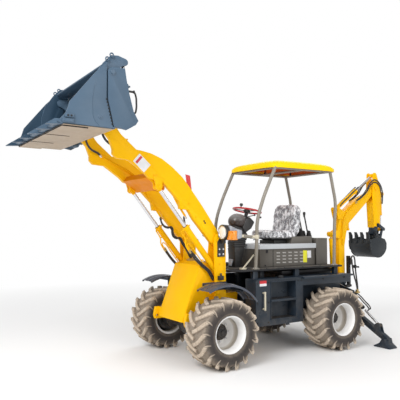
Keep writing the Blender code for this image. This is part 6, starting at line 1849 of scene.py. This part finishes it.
def dig_trim():
    """On the digging arm: pin heads with keeper bolts, bucket side cutters, tooth adaptors and weld beads."""
    rows = (
        ("boom_foot_pins", "swing", CHASSIS_NAVY, 0.092, 0.030, ((-0.880, 0.760), BOOM_BASE)),
        ("stick_pins", "stick", LOADER_YELLOW, 0.0725, 0.028, ((-1.660, 2.206),)),
        ("boom_pins", "boom", LOADER_YELLOW, 0.0605, 0.022, (STICK_BASE, BOOM_EYE)),
        ("hoe_pins", "hoe_bucket", DIG_GREY, 0.0685, 0.024, ((-1.655, 1.490),)),
        ("guide_pins", "hoe_guide", DIG_GREY, 0.0886, 0.018, ((-1.700, 1.620),)),
        ("stick_lug_pins", "stick", LOADER_YELLOW, 0.0565, 0.020, (HOE_BASE,)),
        ("stick_eye_pins", "stick", LOADER_YELLOW, 0.0665, 0.022, (STICK_EYE,)),
    )
    for name, body, finish, reach, half, places in rows:
        heads = []
        for x, z in places:
            for side in (1, -1):
                rows = [(0.0004, 0.009), (half * 0.5, 0.009), (half * 0.62, 0.006), (half * 0.92, 0.006), (half, 0.003)]
                heads.append(pin_end("pin_head", side, (x, z), reach, [*rows, (half, -0.001), (0.0004, -0.001)], 24))
                tab = side_block(
                    "keeper", side, (x - 0.006, reach, z - half - 0.016), (x + 0.010, reach + 0.005, z - half * 0.6)
                )
                heads.append(soften(tab, 0.0015))
        wear(assembled(name, heads, 35), finish, body)
    cutters_made, beads = [], []
    for side in (1, -1):
        y = side * 0.199
        cutter = cutout(
            "side_cutter",
            side_view(
                y + side * 0.005, (-1.326, 1.372), (-1.331, 1.285), (-1.352, 1.225), (-1.382, 1.235), (-1.366, 1.300),
                (-1.366, 1.372)
            ),
            (0, side * 0.010, 0)
        )
        cutters_made.append(soften(cutter, 0.0025))
        for x, z in ((-1.350, 1.345), (-1.354, 1.270)):
            cutters_made.append(rod("cutter_bolt", at(x, y + side * 0.008, z), at(x, y + side * 0.017, z), 0.009, 6))
        seam = pipe(
            "bucket_weld",
            side_view(
                y - side * 0.001, (-1.372, 1.193), (-1.448, 1.130), (-1.556, 1.112), (-1.655, 1.152), (-1.728, 1.240),
                (-1.736, 1.328)
            ),
            0.0028, 6, 8
        )
        beads.append(seam)
    for i in range(4):
        y = 0.169 * (2 * i / 3 - 1)
        adaptor = block("adaptor", at(-1.357, y - 0.026, 1.338), at(-1.316, y + 0.026, 1.412))
        resized(adaptor, facing(0, 0, 1), (0.7, 0.82, 1))
        cutters_made.append(soften(adaptor, 0.004))
        tip = block("tooth", at(-1.356, y - 0.024, 1.400), at(-1.318, y + 0.024, 1.450))
        choose(tip, facing(0, 0, 1))
        pull(0.022, 0, 0.055)
        bpy.ops.transform.resize(value=(0.45, 0.85, 1))
        done()
        cutters_made.append(soften(tip, 0.003))
    wear(assembled("dig_teeth", cutters_made + beads, 35), DIG_GREY, "hoe_bucket")


def rear_trim():
    """Behind the stand: hose mast on the swing post, hanging hoses with brass ends, valve levers, and a black block
    under the platform, partly frame and partly painted shade.
    """
    mast = block("hose_mast", at(-0.972, 0.088, 0.690), at(-0.926, 0.134, 1.150))
    stepped(mast, lambda middle, normal: abs(normal.z) > 0.9, 0.005, (0, 0, -0.010))
    foot = block("mast_foot", at(-0.985, 0.083, 0.690), at(-0.870, 0.140, 0.722))
    wear(assembled("hose_mast", [mast, foot], 40, 0.004, 3), SHOP_BLACK, "swing")
    lines = [
        pipe(
            "line",
            [
                at(-0.952, 0.150, 1.020), at(-0.954, 0.158, 1.100), at(-0.975, 0.160, 1.142), at(-1.006, 0.160, 1.146),
                at(-1.030, 0.160, 1.110), at(-1.040, 0.160, 1.034), at(-1.058, 0.160, 0.872), at(-1.088, 0.160, 0.700),
                at(-1.092, 0.160, 0.640)
            ],
            0.011
        ),
        pipe(
            "line",
            [
                at(-0.968, 0.160, 1.100), at(-0.976, 0.165, 0.991), at(-1.006, 0.168, 0.852), at(-1.052, 0.168, 0.731),
                at(-1.074, 0.168, 0.640)
            ],
            0.011
        ),
        pipe(
            "line",
            [
                at(-1.060, 0.160, 0.640), at(-1.040, 0.160, 0.560), at(-0.960, 0.140, 0.520), at(-0.860, 0.090, 0.540),
                at(-0.800, 0.045, 0.580)
            ],
            0.011
        ),
    ]
    wear(assembled("swing_hoses", lines, 60), HOSE, "swing")
    ends = [
        rod("hose_end", at(-1.092, 0.160, 0.648), at(-1.088, 0.160, 0.604), 0.015, 6),
        rod("hose_end", at(-1.074, 0.168, 0.650), at(-1.070, 0.168, 0.604), 0.015, 6)
    ]
    ends.append(block("end_block", at(-1.110, 0.140, 0.590), at(-1.045, 0.188, 0.614)))
    ends.append(rod("hose_end", at(-0.968, 0.150, 1.088), at(-0.966, 0.150, 1.118), 0.014, 6))
    wear(assembled("swing_hose_ends", ends, 35, 0.0015), BRASS, "swing")
    valve = [
        block("valve", at(-1.052, 0.140, 0.966), at(-1.012, 0.182, 1.012)),
        rod("valve_tap", at(-1.045, 0.161, 0.988), at(-1.100, 0.161, 0.980), 0.009, 14),
        rod("valve_grip", at(-1.096, 0.161, 0.981), at(-1.120, 0.161, 0.977), 0.014, 16)
    ]
    wear(assembled("swing_valve", valve, 40, 0.003), SHOP_BLACK, "swing")
    # partly painted shade: a black block under the platform stands for the frame, tank and hoses there and the shade
    # among them
    shelf = block("underframe_and_shade_fill", at(-0.360, -0.390, 0.968), at(0.640, 0.390, 1.010))
    stepped(shelf, facing(0, 0, -1), 0.04, (0, 0, -0.030))
    wear(smooth(soften(shelf, 0.006), 40), SHOP_BLACK, "rear_body")


def stabilizer_trim():
    """Hoses and pin heads of the stabilizers, ribs on their feet."""
    for side, tag in SIDES:
        lines = []
        for dx, dz in ((0.016, 0.0), (-0.016, 0.012)):
            lines.append(pipe(
                "line",
                sided(
                    side, (-0.600 + dx, 0.500, 0.625 + dz), (-0.604 + dx, 0.540, 0.640 + dz),
                    (-0.606 + dx, 0.600, 0.612 + dz), (-0.606 + dx, 0.680, 0.548 + dz),
                    (-0.606 + dx, 0.755, 0.490 + dz), (-0.604 + dx, 0.770, 0.462 + dz),
                    (-0.602 + dx, 0.752, 0.446 + dz)
                ),
                0.0085
            ))
        wear(assembled("leg_hoses_" + tag, lines, 60), HOSE, "leg_barrel_" + tag)
        ribs = []
        for dx in (-0.060, -0.020, 0.020, 0.060):
            rib = cutout(
                "foot_rib",
                [at(-0.600 + dx, side * y, z) for y, z in (
                    (0.905, 0.0145), (1.125, 0.0145), (1.078, 0.050), (0.984, 0.050)
                )],
                (0.007, 0, 0)
            )
            ribs.append(soften(rib, 0.0015))
        wear(assembled("foot_ribs_" + tag, ribs, 35), CHASSIS_NAVY, "leg_" + tag)
        heads = []
        for x in (-0.6395, -0.5605):
            direction = -1 if x < -0.6 else 1
            heads.append(rod(
                "leg_pin", at(x, side * 0.500, 0.400), at(x + direction * 0.004, side * 0.500, 0.400),
                0.030, 24
            ))
        wear(assembled("leg_pins_" + tag, heads, 35, 0.001), SHOP_BLACK, "leg_" + tag)


def studio():
    world = bpy.data.worlds.new("studio")
    bpy.context.scene.world = world
    world.use_nodes = True
    tree = world.node_tree
    lit = tree.nodes["Background"]
    lit.inputs["Color"].default_value = (1, 1, 1, 1)
    lit.inputs["Strength"].default_value = 0.62
    seen = node(tree, "ShaderNodeBackground", Color=(1, 1, 1, 1), Strength=1.0)
    path = node(tree, "ShaderNodeLightPath")
    either = node(tree, "ShaderNodeMath")
    either.operation = "MAXIMUM"
    link(tree, path.outputs["Is Camera Ray"], either.inputs[0])
    link(tree, path.outputs["Is Transmission Ray"], either.inputs[1])
    both = node(tree, "ShaderNodeMixShader")
    link(tree, either.outputs[0], both.inputs[0])
    link(tree, lit.outputs[0], both.inputs[1])
    link(tree, seen.outputs[0], both.inputs[2])
    link(tree, both.outputs[0], tree.nodes["World Output"].inputs["Surface"])

    bpy.ops.mesh.primitive_circle_add(vertices=96, radius=60, fill_type="NGON", location=(0, 0, 0))
    floor = bpy.context.object
    floor.name = "studio_floor"
    made, tree, shader = finish_of("studio_floor_white")
    shader.inputs["Roughness"].default_value = 0.9
    shader.inputs["Base Color"].default_value = (0.93, 0.93, 0.93, 1)
    away = node(tree, "ShaderNodeVectorMath")
    away.operation = "LENGTH"
    link(tree, place_socket(tree), away.inputs[0])
    glow = node(tree, "ShaderNodeEmission", Color=(1, 1, 1, 1), Strength=1.0)
    both = node(tree, "ShaderNodeMixShader")
    link(tree, span(tree, away.outputs["Value"], 3.5, 9.0), both.inputs[0])
    link(tree, shader.outputs[0], both.inputs[1])
    link(tree, glow.outputs[0], both.inputs[2])
    link(tree, both.outputs[0], tree.nodes["Material Output"].inputs["Surface"])
    floor.data.materials.append(made)

    for name, spot, aim, size, power in (
        ("key_softbox", (7.0, 3.6, 6.5), (0.6, 0, 1.2), 4.5, 520),
        ("side_softbox", (-1.5, 8.0, 4.5), (0, 0, 1.0), 5.0, 190),
        ("back_softbox", (-6.0, -5.0, 6.0), (0, 0, 1.4), 5.0, 160),
    ):
        bpy.ops.object.light_add(type="AREA", location=spot)
        lamp = bpy.context.object
        lamp.name = name
        lamp.data.size = size
        lamp.data.energy = power
        lamp.rotation_euler = (Vector(aim) - Vector(spot)).to_track_quat("-Z", "Y").to_euler()

    bpy.ops.object.camera_add(location=at(5.278, 5.54, 1.563))
    camera = bpy.context.object
    camera.name = "photo_camera"
    yaw, pitch = math.radians(-123.19), math.radians(3.1)
    look = Vector((math.cos(pitch) * math.cos(yaw), math.cos(pitch) * math.sin(yaw), math.sin(pitch)))
    camera.rotation_euler = look.to_track_quat("-Z", "Y").to_euler()
    camera.data.sensor_width = 36
    camera.data.lens = 47.18
    camera.data.clip_end = 200
    bpy.context.scene.camera = camera
    bpy.context.scene.view_settings.view_transform = "Standard"


bpy.ops.object.select_all(action="DESELECT")
dress_frame()
wheels()
hood_louvres()
hood_lid()
plates()
lever_stand()
seat()
steering_column()
steering_wheel()
front_rail()
roof()
platform_trim()
box_trim()
welded_plates()
cylinders()
headlamps()
front_fenders()
canopy()
arm_trim()
lift_lines()
arm_lines()
bucket_trim()
nose_trim()
dig_lines()
dig_trim()
rear_trim()
stabilizer_trim()
studio()
